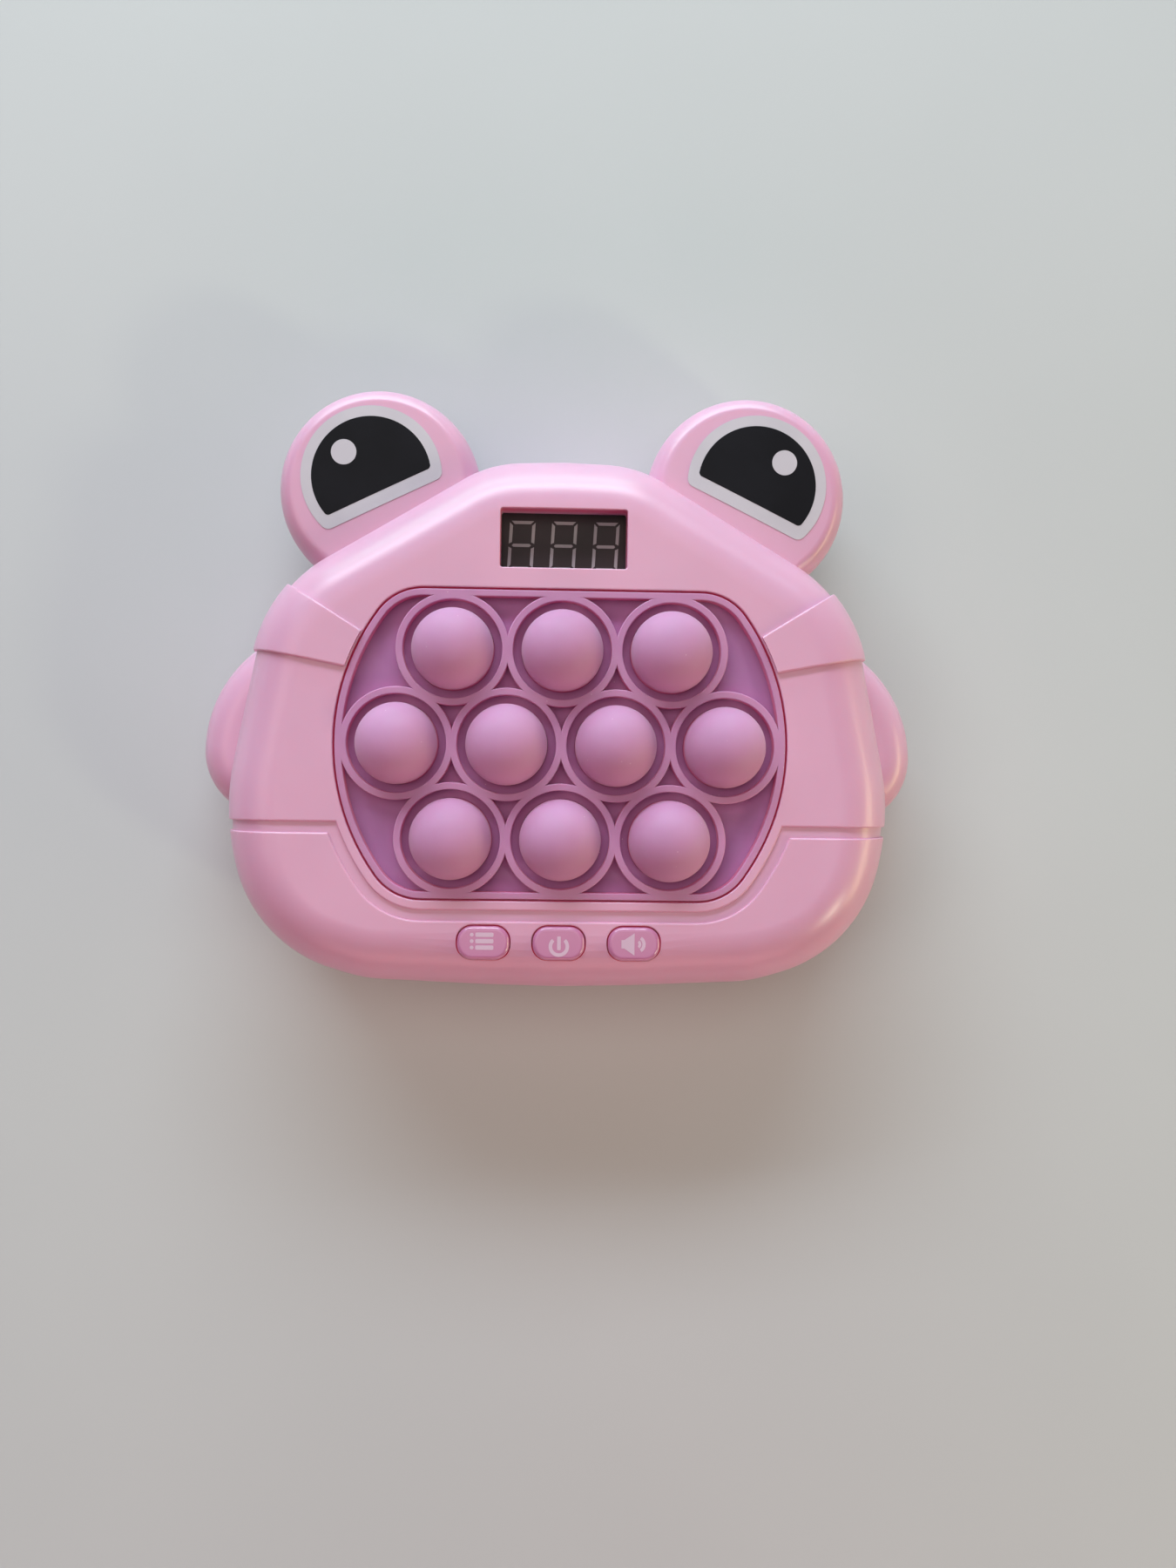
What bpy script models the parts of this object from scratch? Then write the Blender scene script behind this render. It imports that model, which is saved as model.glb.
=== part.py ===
"""Electronic bubble pop game: a frog-faced handheld game lying on its back.

Metres, +Z up out of the face, +Y towards the eyes, origin on the ground under the
middle of the outline. Pieces are drawn about the middle of the bubble pad and ride on
one empty that carries them to their place.
"""
import math

import bmesh
import bpy
from mathutils import Matrix, Vector

MM = 0.001

# Fits and cutting allowances
GAP = 0.3 * MM
OVERRUN = 2.0 * MM
WELD = 0.001 * MM

# Facets
OUTLINE_TURN = math.radians(12)
HOLLOW_TURN = math.radians(30)
WINDOW_TURN = math.radians(10)
SMALL_TURN = math.radians(45)
EYE_STEPS = 28
EYE_HOLLOW_STEPS = 14
BUBBLE_STEPS = 16
RING_STEPS = 16
TRAY_HOLE_STEPS = 10
BOSS_STEPS = 8
STEM_STEPS = 6
PIN_STEPS = 4
CELL_STEPS = 14
CAP_STEPS = 8
OUTER_SEGMENTS = 4
HOLLOW_SEGMENTS = 2
SHARP_ANGLE = math.radians(35)
FLAT_ANGLE = math.radians(0.5)
FILLET_ROOM_SHARE = 0.96

# Body shell
BODY_HALF_WIDTH = 74.7 * MM
BODY_TOP = 65.0 * MM
BODY_BOTTOM = 54.6 * MM
BODY_DEPTH = 39.0 * MM
FRONT_ROUND = 13.0 * MM
BACK_ROUND = 10.0 * MM
WALL = 2.2 * MM
PARTING_Z = 19.5 * MM
LIP_THICK = 1.0 * MM
LIP_HEIGHT = 1.6 * MM
# Corners of the right half of the outline, top to bottom: place across, place up or
# down, and corner radius, all but the height against the half width
BODY_UPPER_CORNER_SHARES = [(0.0, 1.002, 1.95), (0.231, 0.984, 0.366), (0.886, 0.534, 0.45)]
BODY_LOWER_CORNER_SHARES = [(1.019, 0.272, 0.794), (0.923, 0.839, 0.471), (0.589, 0.975, 0.397),
                            (0.0, 1.010, 5.0)]

# Eye bulbs and their labels
EYE_RADIUS = 22.95 * MM
EYE_FRONT_Z = 30.0 * MM
EYE_BACK_Z = 8.0 * MM
EYE_RIM = 4.2 * MM
EYE_RIM_DEPTH = 7.0 * MM
EYE_ACROSS_SHARE = 0.5622
EYE_UP_SHARE = 0.8931
LABEL_RADIUS = 16.1 * MM
LABEL_CHORD = 7.25 * MM
LABEL_CORNER = 2.0 * MM
LABEL_TILT = math.radians(26)
LABEL_THICK = 0.3 * MM
LABEL_WELL = 0.5 * MM
LABEL_OUT_SHARE = 0.061
LABEL_UP_SHARE = 0.0937

# Arms, their outline's corners placed by shares of the reach and of the length
ARM_REACH = 8.7 * MM
ARM_LENGTH = 37.6 * MM
ARM_HALF_THICK = 9.0 * MM
ARM_ROUND = 8.0 * MM
ARM_ROOT = 26.0 * MM
ARM_Z = 14.0 * MM
ARM_CENTRE_SHARE = 0.0455
ARM_BEND_RADIUS = 31.0 * MM
ARM_TIP_RADIUS = 16.0 * MM
ARM_ACROSS_SHARES = {"bend": 0.90, "tip": 1.09}
ARM_UP_SHARES = {"root": 0.64, "bend": 0.272, "tip": -0.314, "end": -0.6}

# Bubbles and the silicone pad
PITCH = 24.0 * MM
ROWS = (3, 4, 3)
DOME_RADIUS = 8.96 * MM
DOME_RISE = 8.2 * MM
DOME_SIDE = 2.6 * MM
DOME_WALL = 1.6 * MM
RING_INNER = 10.85 * MM
RING_WALL = 1.56 * MM
RING_HEIGHT = 3.0 * MM
WEB = 1.4 * MM
PAD_RIM = 1.6 * MM
PAD_RIM_DROP = 0.1 * MM
PAD_FLANGE = 2.7 * MM
BUBBLE_TRAVEL = 3.5 * MM

# Window, jaw groove and side bands
WINDOW_SIDE_MARGIN = 1.39 * MM
WINDOW_END_MARGIN = 1.05 * MM
WINDOW_CORNER = 12.5 * MM
GROOVE_INSET = 2.05 * MM
GROOVE_WIDTH = 2.4 * MM
GROOVE_DEPTH = 1.0 * MM
GROOVE_DOWN = 17.3 * MM
BAND_RISE = 0.9 * MM
BAND_FROM = math.radians(19.5)
BAND_TO = math.radians(29.0)
BAND_LOW_SLOPE = math.radians(11.0)
BAND_TOP_SLOPE = math.radians(32.0)

# Display
DISPLAY_WIDTH = 27.8 * MM
DISPLAY_HEIGHT = 13.0 * MM
DISPLAY_CORNER = 0.6 * MM
DISPLAY_UP = 11.05 * MM
DISPLAY_SINK = 6.0 * MM
SHROUD_WALL = 1.2 * MM
MODULE_MARGIN = 1.1 * MM
MODULE_STANDOFF = 1.2 * MM
PIN_RADIUS = 0.4 * MM
PIN_PITCH = 4.4 * MM
PIN_ROW_SHARE = 0.36
PINS_PER_ROW = 6

# Function buttons
BUTTON_WIDTH = 11.5 * MM
BUTTON_HEIGHT = 7.5 * MM
BUTTON_CORNER = 3.4 * MM
BUTTON_PITCH = 16.5 * MM
BUTTON_DOWN = 11.2 * MM
BUTTON_PROUD = 0.4 * MM
BUTTON_ROUND = 0.7 * MM
BUTTON_FLANGE = 1.25 * MM
BUTTON_FLANGE_THICK = 1.0 * MM
BUTTON_COLLAR = 1.8 * MM
BUTTON_COLLAR_DEPTH = 5.0 * MM
BUTTON_STEM_RADIUS = 2.0 * MM
BUTTON_TRAVEL = 0.6 * MM

# Batteries and their bay in the back
CELL_DIAMETER = 14.5 * MM
CELL_LENGTH = 50.5 * MM
CELL_NUB_RADIUS = 2.75 * MM
CELL_NUB = 1.2 * MM
CELL_COUNT = 3
CELL_SPACING = 0.5 * MM
BAY_DOWN = 10.0 * MM
BAY_WALL = 1.6 * MM
BAY_ROOF = 1.3 * MM
CONTACT_ROOM = 4.2 * MM
CONTACT_THICK = 0.5 * MM
CONTACT_HEIGHT = 10.0 * MM
SPRING_RADIUS = 3.6 * MM
SPRING_TIP = 1.6 * MM
DOOR_THICK = 2.4 * MM
DOOR_RECESS = 0.3 * MM
DOOR_BORDER = 1.6 * MM
DOOR_EAR = 10.0 * MM
DOOR_CORNER = 3.0 * MM
DOOR_RIM = 3.5 * MM
TAB_WIDTH = 8.0 * MM
TAB_LENGTH = 1.9 * MM
TAB_THICK = 1.0 * MM
TAB_SPREAD_SHARE = 0.62

# Circuit board with its switches and lamps
BOARD_LIFT = 0.9 * MM
BOARD_THICK = 1.6 * MM
BOARD_MARGIN = 3.0 * MM
SWITCH_SIDE = 6.0 * MM
SWITCH_BODY = 3.5 * MM
SWITCH_STEM = 1.5 * MM
SWITCH_STEM_RADIUS = 1.75 * MM
LAMP_LENGTH = 3.5 * MM
LAMP_WIDTH = 2.8 * MM
LAMP_HEIGHT = 1.5 * MM

# Tray under the pad, and the light caps inside the bubbles
TRAY_THICK = 2.0 * MM
TRAY_HOLE_CLEAR = 0.9 * MM
CAP_STEM_RADIUS = 2.4 * MM

# Speaker
SPEAKER_RADIUS = 14.0 * MM
SPEAKER_DEPTH = 5.0 * MM
SPEAKER_MAGNET_RADIUS = 8.0 * MM
SPEAKER_MAGNET = 3.0 * MM
SPEAKER_RIB = 1.5 * MM
SPEAKER_CLEAR = 6.0 * MM
GRILLE_SLOTS = 5
GRILLE_SLOT_WIDTH = 1.8 * MM
GRILLE_PITCH = 3.8 * MM
GRILLE_REACH_SHARE = 0.72
GRILLE_END_SHARE = 0.45
SPEAKER_FRAME_SHARE = 0.3

# Screws and their bosses
SCREW_RADIUS = 1.25 * MM
SCREW_HEAD_RADIUS = 2.5 * MM
SCREW_HEAD = 1.9 * MM
SCREW_LENGTH = 10.0 * MM
HEAD_FLAT_SHARE = 0.8
HEAD_EDGE_SHARE = 0.6
DOOR_SCREW_HEAD = 1.2 * MM
DOOR_SCREW_LENGTH = 7.0 * MM
BOSS_WALL = 1.7 * MM
WELL_SEAT = 3.2 * MM
PARTING_SET_BACK = 0.5 * MM
TRAY_BOSS_WALL = 1.3 * MM
SLEEVE_WALL = 1.3 * MM
EAR_CORNER_SHARE = 0.9
HOUSING_SCREW_SHARES = [(0.800, -0.513), (0.776, 0.412), (0.605, 0.955)]
BOARD_SCREW_ACROSS_SHARE = 0.62
BOARD_SCREW_OUT = 7.6 * MM

# Sizes and places that follow from the ones above
ROW_PITCH = PITCH * math.sin(math.radians(60))
RING_OUTER = RING_INNER + RING_WALL
WIDE_ROW_REACH = PITCH * (max(ROWS) - 1) / 2
ROWS_REACH = ROW_PITCH * (len(ROWS) - 1) / 2
WINDOW_RADIUS = WIDE_ROW_REACH + RING_OUTER + WINDOW_SIDE_MARGIN
WINDOW_HALF_HEIGHT = ROWS_REACH + RING_OUTER + WINDOW_END_MARGIN

EYE_X = BODY_HALF_WIDTH * EYE_ACROSS_SHARE
EYE_Y = BODY_TOP * EYE_UP_SHARE
OUTLINE_TOP = EYE_Y + EYE_RADIUS
ORIGIN_Y = (BODY_BOTTOM - OUTLINE_TOP) / 2
LABEL_X = EYE_X + EYE_RADIUS * LABEL_OUT_SHARE
LABEL_Y = EYE_Y + EYE_RADIUS * LABEL_UP_SHARE

REAR_TOP = PARTING_Z - GAP / 2
FRONT_LOW = PARTING_Z + GAP / 2
FACE_INSIDE = BODY_DEPTH - WALL

WEB_TOP = BODY_DEPTH - RING_HEIGHT
PAD_LOW = WEB_TOP - WEB
PAD_EMBED = WEB / 3
TRAY_TOP = PAD_LOW - GAP
TRAY_LOW = TRAY_TOP - TRAY_THICK
DOME_HOLE = DOME_RADIUS + GAP
TRAY_HOLE = DOME_RADIUS + TRAY_HOLE_CLEAR

DOOR_TOP = DOOR_RECESS + DOOR_THICK
BAY_LOW = DOOR_TOP + GAP
CELL_Z = BAY_LOW + CELL_DIAMETER / 2
BAY_INSIDE = BAY_LOW + CELL_DIAMETER + GAP
BAY_OUTSIDE = BAY_INSIDE + BAY_ROOF
CELL_PITCH = CELL_DIAMETER + CELL_SPACING
BAY_HALF_LENGTH = CELL_LENGTH / 2 + CONTACT_ROOM
BAY_HALF_WIDTH = (CELL_COUNT * CELL_PITCH + CELL_SPACING) / 2
BAY_Y = -BAY_DOWN
DOOR_HALF_WIDTH = BAY_HALF_LENGTH + DOOR_BORDER
DOOR_Y_HIGH = BAY_Y + BAY_HALF_WIDTH + DOOR_BORDER
DOOR_Y_LOW = BAY_Y - BAY_HALF_WIDTH - DOOR_EAR
DOOR_SCREW_Y = DOOR_Y_LOW + DOOR_EAR / 2

BOARD_LOW = BAY_OUTSIDE + BOARD_LIFT
BOARD_TOP = BOARD_LOW + BOARD_THICK
SWITCH_TOP = BOARD_TOP + SWITCH_BODY + SWITCH_STEM
DISPLAY_Y = WINDOW_HALF_HEIGHT + DISPLAY_UP
DISPLAY_FACE = BODY_DEPTH - DISPLAY_SINK
BUTTON_Y = -(BODY_BOTTOM - BUTTON_DOWN)
BUTTON_TOP = BODY_DEPTH + BUTTON_PROUD
COLLAR_LOW = BODY_DEPTH - BUTTON_COLLAR_DEPTH

SPEAKER_Y = BAY_Y + BAY_HALF_WIDTH + BAY_WALL + SPEAKER_CLEAR + SPEAKER_RADIUS
PILOT = SCREW_RADIUS + GAP
HEAD_WELL = SCREW_HEAD_RADIUS + GAP
HOUSING_SEAT = REAR_TOP - PARTING_SET_BACK - WELL_SEAT
BOARD_SCREW_X = WINDOW_RADIUS * BOARD_SCREW_ACROSS_SHARE
BOARD_SCREW_Y = WINDOW_HALF_HEIGHT + BOARD_SCREW_OUT
TRAY_BOSS = PILOT + TRAY_BOSS_WALL
SLEEVE_INNER = TRAY_BOSS + GAP
SLEEVE_OUTER = SLEEVE_INNER + SLEEVE_WALL


def clear_scene():
    for item in list(bpy.data.objects):
        bpy.data.objects.remove(item)


def make_collection(name):
    collection = bpy.data.collections.new(name)
    bpy.context.scene.collection.children.link(collection)
    return collection


def make_material(name, colour, roughness, metallic=0.0):
    material = bpy.data.materials.new(name)
    material.use_nodes = True
    shader = material.node_tree.nodes["Principled BSDF"]
    shader.inputs["Base Color"].default_value = (*colour, 1.0)
    shader.inputs["Roughness"].default_value = roughness
    shader.inputs["Metallic"].default_value = metallic
    material.diffuse_color = (*colour, 1.0)
    return material


def object_from(name, bm):
    """Closed mesh turned outwards, as a new object among the workpieces."""
    bmesh.ops.recalc_face_normals(bm, faces=bm.faces)
    mesh = bpy.data.meshes.new(name)
    bm.to_mesh(mesh)
    bm.free()
    item = bpy.data.objects.new(name, mesh)
    WORKPIECES.objects.link(item)
    return item


def bake(item):
    """Replace an object's mesh by what its modifiers make of it."""
    bpy.context.view_layer.update()
    evaluated = item.evaluated_get(bpy.context.evaluated_depsgraph_get())
    mesh = bpy.data.meshes.new_from_object(evaluated)
    item.modifiers.clear()
    item.data = mesh
    return item


def boolean(item, tool, operation):
    """Join, cut or trim; the exact solver leaves open edges on these shells."""
    modifier = item.modifiers.new(operation, "BOOLEAN")
    modifier.operation = operation
    modifier.solver = "MANIFOLD"
    modifier.object = tool
    bake(item)
    bpy.data.objects.remove(tool)
    return item


def join(item, *tools):
    for tool in tools:
        boolean(item, tool, "UNION")
    return item


def cut(item, *tools):
    for tool in tools:
        boolean(item, tool, "DIFFERENCE")
    return item


def trim(item, tool):
    return boolean(item, tool, "INTERSECT")


def arc(centre, radius, start, sweep, turn):
    """Points along an arc, both ends included."""
    steps = max(1, math.ceil(abs(sweep) / turn))
    points = []
    for step in range(steps + 1):
        angle = start + sweep * step / steps
        points.append((centre[0] + radius * math.cos(angle), centre[1] + radius * math.sin(angle)))
    return points


def circle(x, y, radius, steps):
    return arc((x, y), radius, 0, math.tau, math.tau / steps)[:-1]


def rounded_outline(corners, turn):
    """Closed outline whose corners (x, y, radius) are arcs tangent to both sides."""
    places = [Vector((x, y)) for x, y, radius in corners]
    count = len(corners)
    sides = [(places[(i + 1) % count] - places[i]).length for i in range(count)]
    halves = []
    reaches = []
    for i, (x, y, radius) in enumerate(corners):
        half = (places[i - 1] - places[i]).angle(places[(i + 1) % count] - places[i]) / 2
        halves.append(half)
        reaches.append(radius / math.tan(half))
    # Two arcs that share a side shrink alike where the side is too short for both
    room = [min(1.0, FILLET_ROOM_SHARE * sides[i] / (reaches[i] + reaches[(i + 1) % count]))
            for i in range(count)]
    points = []
    for i, corner in enumerate(places):
        reach = reaches[i] * min(room[i - 1], room[i])
        before = (places[i - 1] - corner).normalized()
        after = (places[(i + 1) % count] - corner).normalized()
        centre = corner + (before + after).normalized() * (reach / math.cos(halves[i]))
        start = corner + before * reach - centre
        end = corner + after * reach - centre
        sweep = math.atan2(start.x * end.y - start.y * end.x, start.dot(end))
        points += arc(centre, start.length, math.atan2(start.y, start.x), sweep, turn)
    return points


def grow(points, distance):
    """Outline moved outwards by a distance, or inwards where it is negative."""
    area = sum(a[0] * b[1] - b[0] * a[1] for a, b in zip(points, points[1:] + points[:1]))
    side = distance if area > 0 else -distance
    moved = []
    for index, point in enumerate(points):
        here = Vector(point)
        before = (here - Vector(points[index - 1])).normalized()
        after = (Vector(points[(index + 1) % len(points)]) - here).normalized()
        normal = Vector((before.y + after.y, -before.x - after.x)).normalized()
        stretch = max(normal.dot(Vector((after.y, -after.x))), 0.5)
        moved.append(tuple(here + normal * (side / stretch)))
    return moved


def mirrored(points, side):
    return [(side * x, y) for x, y in points]


def rounded_box(x, y, half_width, half_height, corner):
    return rounded_outline([(x + half_width, y + half_height, corner),
                            (x - half_width, y + half_height, corner),
                            (x - half_width, y - half_height, corner),
                            (x + half_width, y - half_height, corner)], SMALL_TURN)


def plate(name, outlines, low, high):
    """Flat outlines, the inner ones holes, filled and given a thickness."""
    curve = bpy.data.curves.new(name, "CURVE")
    curve.dimensions = "2D"
    curve.fill_mode = "BOTH"
    curve.extrude = (high - low) / 2
    for outline in outlines:
        spline = curve.splines.new("POLY")
        spline.points.add(len(outline) - 1)
        for point, (x, y) in zip(spline.points, outline):
            point.co = (x, y, 0, 1)
        spline.use_cyclic_u = True
    drawn = bpy.data.objects.new(name, curve)
    WORKPIECES.objects.link(drawn)
    bpy.context.view_layer.update()
    evaluated = drawn.evaluated_get(bpy.context.evaluated_depsgraph_get())
    bm = bmesh.new()
    bm.from_mesh(bpy.data.meshes.new_from_object(evaluated))
    bpy.data.objects.remove(drawn)
    bmesh.ops.remove_doubles(bm, verts=bm.verts, dist=WELD)
    if len(outlines) == 1:
        bmesh.ops.dissolve_limit(bm, angle_limit=FLAT_ANGLE, verts=bm.verts, edges=bm.edges)
    bmesh.ops.translate(bm, verts=bm.verts, vec=(0, 0, (low + high) / 2))
    return object_from(name, bm)


def round_rim(item, height, radius, segments):
    """Round the rim of a plate's flat face that lies at a height."""
    bm = bmesh.new()
    bm.from_mesh(item.data)
    rim = [edge for edge in bm.edges
           if all(abs(vert.co.z - height) < WELD for vert in edge.verts)]
    bmesh.ops.bevel(bm, geom=rim, offset=radius, offset_type="OFFSET", segments=segments,
                    profile=0.5, affect="EDGES", clamp_overlap=False)
    bmesh.ops.recalc_face_normals(bm, faces=bm.faces)
    bm.to_mesh(item.data)
    bm.free()
    return item


def pillow(name, outline, low, high, low_round, high_round, segments):
    item = plate(name, [outline], low, high)
    round_rim(item, high, high_round, segments)
    return round_rim(item, low, low_round, segments)


def box(name, low, high):
    bm = bmesh.new()
    size = Vector(high) - Vector(low)
    middle = (Vector(high) + Vector(low)) / 2
    place = Matrix.Translation(middle) @ Matrix.Diagonal((*size, 1))
    bmesh.ops.create_cube(bm, size=1.0, matrix=place)
    return object_from(name, bm)


def rod(name, x, y, low, high, radius, steps=BOSS_STEPS, end_radius=None):
    """Upright cylinder, or a cone where its upper radius differs."""
    bm = bmesh.new()
    bmesh.ops.create_cone(bm, cap_ends=True, segments=steps, radius1=radius,
                          radius2=radius if end_radius is None else end_radius,
                          depth=high - low,
                          matrix=Matrix.Translation((x, y, (low + high) / 2)))
    return object_from(name, bm)


def turned(name, profile, steps, x=0, y=0):
    """Profile of (radius, height) points turned about an upright axis."""
    mesh = bpy.data.meshes.new(name)
    vertices = [(radius, 0, height) for radius, height in profile]
    closed = profile[0][0] > 0
    edges = [(index, index + 1) for index in range(len(profile) - 1)]
    if closed:
        edges.append((len(profile) - 1, 0))
    mesh.from_pydata(vertices, edges, [])
    item = bpy.data.objects.new(name, mesh)
    WORKPIECES.objects.link(item)
    screw = item.modifiers.new("Turn", "SCREW")
    screw.steps = steps
    screw.render_steps = steps
    screw.use_merge_vertices = True
    screw.merge_threshold = WELD
    bake(item)
    bm = bmesh.new()
    bm.from_mesh(item.data)
    bpy.data.objects.remove(item)
    bmesh.ops.translate(bm, verts=bm.verts, vec=(x, y, 0))
    return object_from(name, bm)


def linked_faces(face):
    """Every face of the body that this face belongs to."""
    found = {face}
    queue = [face]
    while queue:
        for edge in queue.pop().edges:
            for other in edge.link_faces:
                if other not in found:
                    found.add(other)
                    queue.append(other)
    return found


def drop_slivers(bm):
    """Delete the flat leftovers of a boolean, which enclose nothing."""
    rest = set(bm.faces)
    while rest:
        body = linked_faces(next(iter(rest)))
        rest -= body
        corners = {vert for face in body for vert in face.verts}
        spans = [max(vert.co[axis] for vert in corners) - min(vert.co[axis] for vert in corners)
                 for axis in range(3)]
        if min(spans) < WELD:
            bmesh.ops.delete(bm, geom=list(corners), context="VERTS")


def merge_flats(item):
    """Merge the facets of a piece that lie in one plane, and weld what is left."""
    bm = bmesh.new()
    bm.from_mesh(item.data)
    drop_slivers(bm)
    bmesh.ops.dissolve_limit(bm, angle_limit=FLAT_ANGLE, verts=bm.verts, edges=bm.edges)
    bmesh.ops.remove_doubles(bm, verts=bm.verts, dist=WELD)
    bm.to_mesh(item.data)
    bm.free()


def finish(item, name, material, at=(0, 0, 0)):
    """Name a finished piece, shade it and hang it on the toy's empty."""
    merge_flats(item)
    WORKPIECES.objects.unlink(item)
    TOY.objects.link(item)
    item.name = name
    item.data.name = name
    item.data.materials.clear()
    item.data.materials.append(material)
    item.data.shade_smooth()
    item.data.set_sharp_from_angle(angle=SHARP_ANGLE)
    item.parent = CARRIER
    item.location = at
    return item


def bubble_places():
    """Bubble centres, row by row from the eyes down, left to right."""
    places = []
    for row, count in enumerate(ROWS):
        y = ROWS_REACH - row * ROW_PITCH
        for column in range(count):
            places.append(((column - (count - 1) / 2) * PITCH, y))
    return places


def body_outline(turn=OUTLINE_TURN):
    upper = [(x * BODY_HALF_WIDTH, y * BODY_TOP, r * BODY_HALF_WIDTH)
             for x, y, r in BODY_UPPER_CORNER_SHARES]
    lower = [(x * BODY_HALF_WIDTH, -y * BODY_BOTTOM, r * BODY_HALF_WIDTH)
             for x, y, r in BODY_LOWER_CORNER_SHARES]
    right = upper + lower
    left = [(-x, y, r) for x, y, r in reversed(right[1:-1])]
    return rounded_outline(right + left, turn)


def arm_outline(side, turn):
    """Plan of one arm, running well into the body."""
    middle = BODY_TOP * ARM_CENTRE_SHARE
    root = BODY_HALF_WIDTH - ARM_ROOT
    shoulder = BODY_HALF_WIDTH - ARM_REACH
    up = {corner: middle + ARM_LENGTH * share for corner, share in ARM_UP_SHARES.items()}
    across = {corner: BODY_HALF_WIDTH + ARM_REACH * share
              for corner, share in ARM_ACROSS_SHARES.items()}
    corners = [(root, up["root"], ARM_REACH / 2),
               (shoulder, up["root"], ARM_REACH),
               (across["bend"], up["bend"], ARM_BEND_RADIUS),
               (across["tip"], up["tip"], ARM_TIP_RADIUS),
               (shoulder + ARM_REACH / 2, up["end"], ARM_REACH),
               (root, up["end"], ARM_REACH / 2)]
    return mirrored(rounded_outline(corners, turn), side)


def window_outline(offset):
    """Barrel-shaped window: a circle with its top and bottom cut flat."""
    radius = WINDOW_RADIUS + offset
    half_height = WINDOW_HALF_HEIGHT + offset
    corner = WINDOW_CORNER + offset
    up = half_height - corner
    across = math.sqrt((radius - corner) ** 2 - up ** 2)
    lean = math.atan2(up, across)
    quarter = arc((across, up), corner, math.pi / 2, lean - math.pi / 2, WINDOW_TURN)
    side = arc((0, 0), radius, lean, -2 * lean, WINDOW_TURN)[1:-1]
    right = quarter + side + [(x, -y) for x, y in reversed(quarter)]
    return right + [(-x, y) for x, y in reversed(right)]


def groove_outline():
    """Groove from side to side of the face, dipping round the lower half of the window."""
    reach = BODY_HALF_WIDTH + GROOVE_DEPTH
    edges = []
    for offset, level in ((GROOVE_INSET + GROOVE_WIDTH, -GROOVE_DOWN - GROOVE_WIDTH),
                          (GROOVE_INSET, -GROOVE_DOWN)):
        turn_x = math.sqrt((WINDOW_RADIUS + offset) ** 2 - level ** 2)
        dip = [point for point in window_outline(offset) if point[1] < level - GAP]
        edges.append([(reach, level), (turn_x, level)] + dip + [(-turn_x, level), (-reach, level)])
    return edges[0] + edges[1][::-1]


def band_outline(side):
    """Plan of a side band, from inside the window to past the body's edge."""
    start = WINDOW_RADIUS - OVERRUN
    run = BODY_HALF_WIDTH
    low = (start * math.cos(BAND_FROM), start * math.sin(BAND_FROM))
    high = (start * math.cos(BAND_TO), start * math.sin(BAND_TO))
    points = [low, (low[0] + run, low[1] + run * math.tan(BAND_LOW_SLOPE)),
              (high[0] + run, high[1] + run * math.tan(BAND_TOP_SLOPE)), high]
    return mirrored(points, side)


def label_outline(side, clearance=0):
    """Round label with its lower side cut straight, leaning towards the nose."""
    radius = LABEL_RADIUS + clearance
    chord = LABEL_CHORD + clearance
    corner = LABEL_CORNER + clearance
    down = corner - chord
    across = math.sqrt((radius - corner) ** 2 - down ** 2)
    lean = math.atan2(down, across)
    points = arc((0, 0), radius, lean, math.pi - 2 * lean, OUTLINE_TURN)
    points += arc((-across, down), corner, math.pi - lean, lean + math.pi / 2, SMALL_TURN)[1:]
    points += arc((across, down), corner, -math.pi / 2, lean + math.pi / 2, SMALL_TURN)[:-1]
    turn = Matrix.Rotation(-LABEL_TILT, 2)
    placed = [turn @ Vector(point) + Vector((LABEL_X, LABEL_Y)) for point in points]
    return mirrored([tuple(point) for point in placed], side)


def eye_profile(offset, segments):
    """Half section of an eye bulb: flat faces with an elliptic rim."""
    radius = EYE_RADIUS + offset
    rim = EYE_RIM + offset
    depth = EYE_RIM_DEPTH + offset
    front = EYE_FRONT_Z + offset
    back = EYE_BACK_Z - offset
    quarter = arc((0, 0), 1, math.pi / 2, -math.pi / 2, math.pi / 2 / segments)
    upper = [(radius - rim + x * rim, front - depth + y * depth) for x, y in quarter]
    lower = [(radius - rim + x * rim, back + depth - y * depth) for x, y in reversed(quarter)]
    return [(0, front)] + upper + lower + [(0, back)]


def body_form(name, offset, turn=OUTLINE_TURN, segments=OUTER_SEGMENTS):
    """The body without eyes and arms, swollen or shrunk by an offset."""
    return pillow(name, grow(body_outline(turn), offset), -offset, BODY_DEPTH + offset,
                  BACK_ROUND + offset, FRONT_ROUND + offset, segments)


def toy_form(name, offset, turn, segments, eye_steps):
    """Body, eyes and arms in one, swollen or shrunk by an offset."""
    form = body_form(name, offset, turn, segments)
    for side in (-1, 1):
        eye = turned("eye", eye_profile(offset, segments), eye_steps, side * EYE_X, EYE_Y)
        arm = pillow("arm", grow(arm_outline(side, turn), offset),
                     ARM_Z - ARM_HALF_THICK - offset, ARM_Z + ARM_HALF_THICK + offset,
                     ARM_ROUND + offset, ARM_ROUND + offset, segments)
        join(form, eye, arm)
    return form


def outside_form(name):
    return toy_form(name, 0, OUTLINE_TURN, OUTER_SEGMENTS, EYE_STEPS)


def hollow_form(name, offset):
    """Coarser form for the inside, which nobody sees."""
    return toy_form(name, offset, HOLLOW_TURN, HOLLOW_SEGMENTS, EYE_HOLLOW_STEPS)


def slab(name, low, high):
    """Block wider than the whole toy, to keep or cut a layer of it."""
    reach = 2 * BODY_HALF_WIDTH
    return box(name, (-reach, -reach, low), (reach, reach, high))


def housing_screw_places():
    places = []
    for across, up in HOUSING_SCREW_SHARES:
        for side in (-1, 1):
            height = BODY_TOP if up > 0 else BODY_BOTTOM
            places.append((side * across * BODY_HALF_WIDTH, up * height))
    return places


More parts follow.
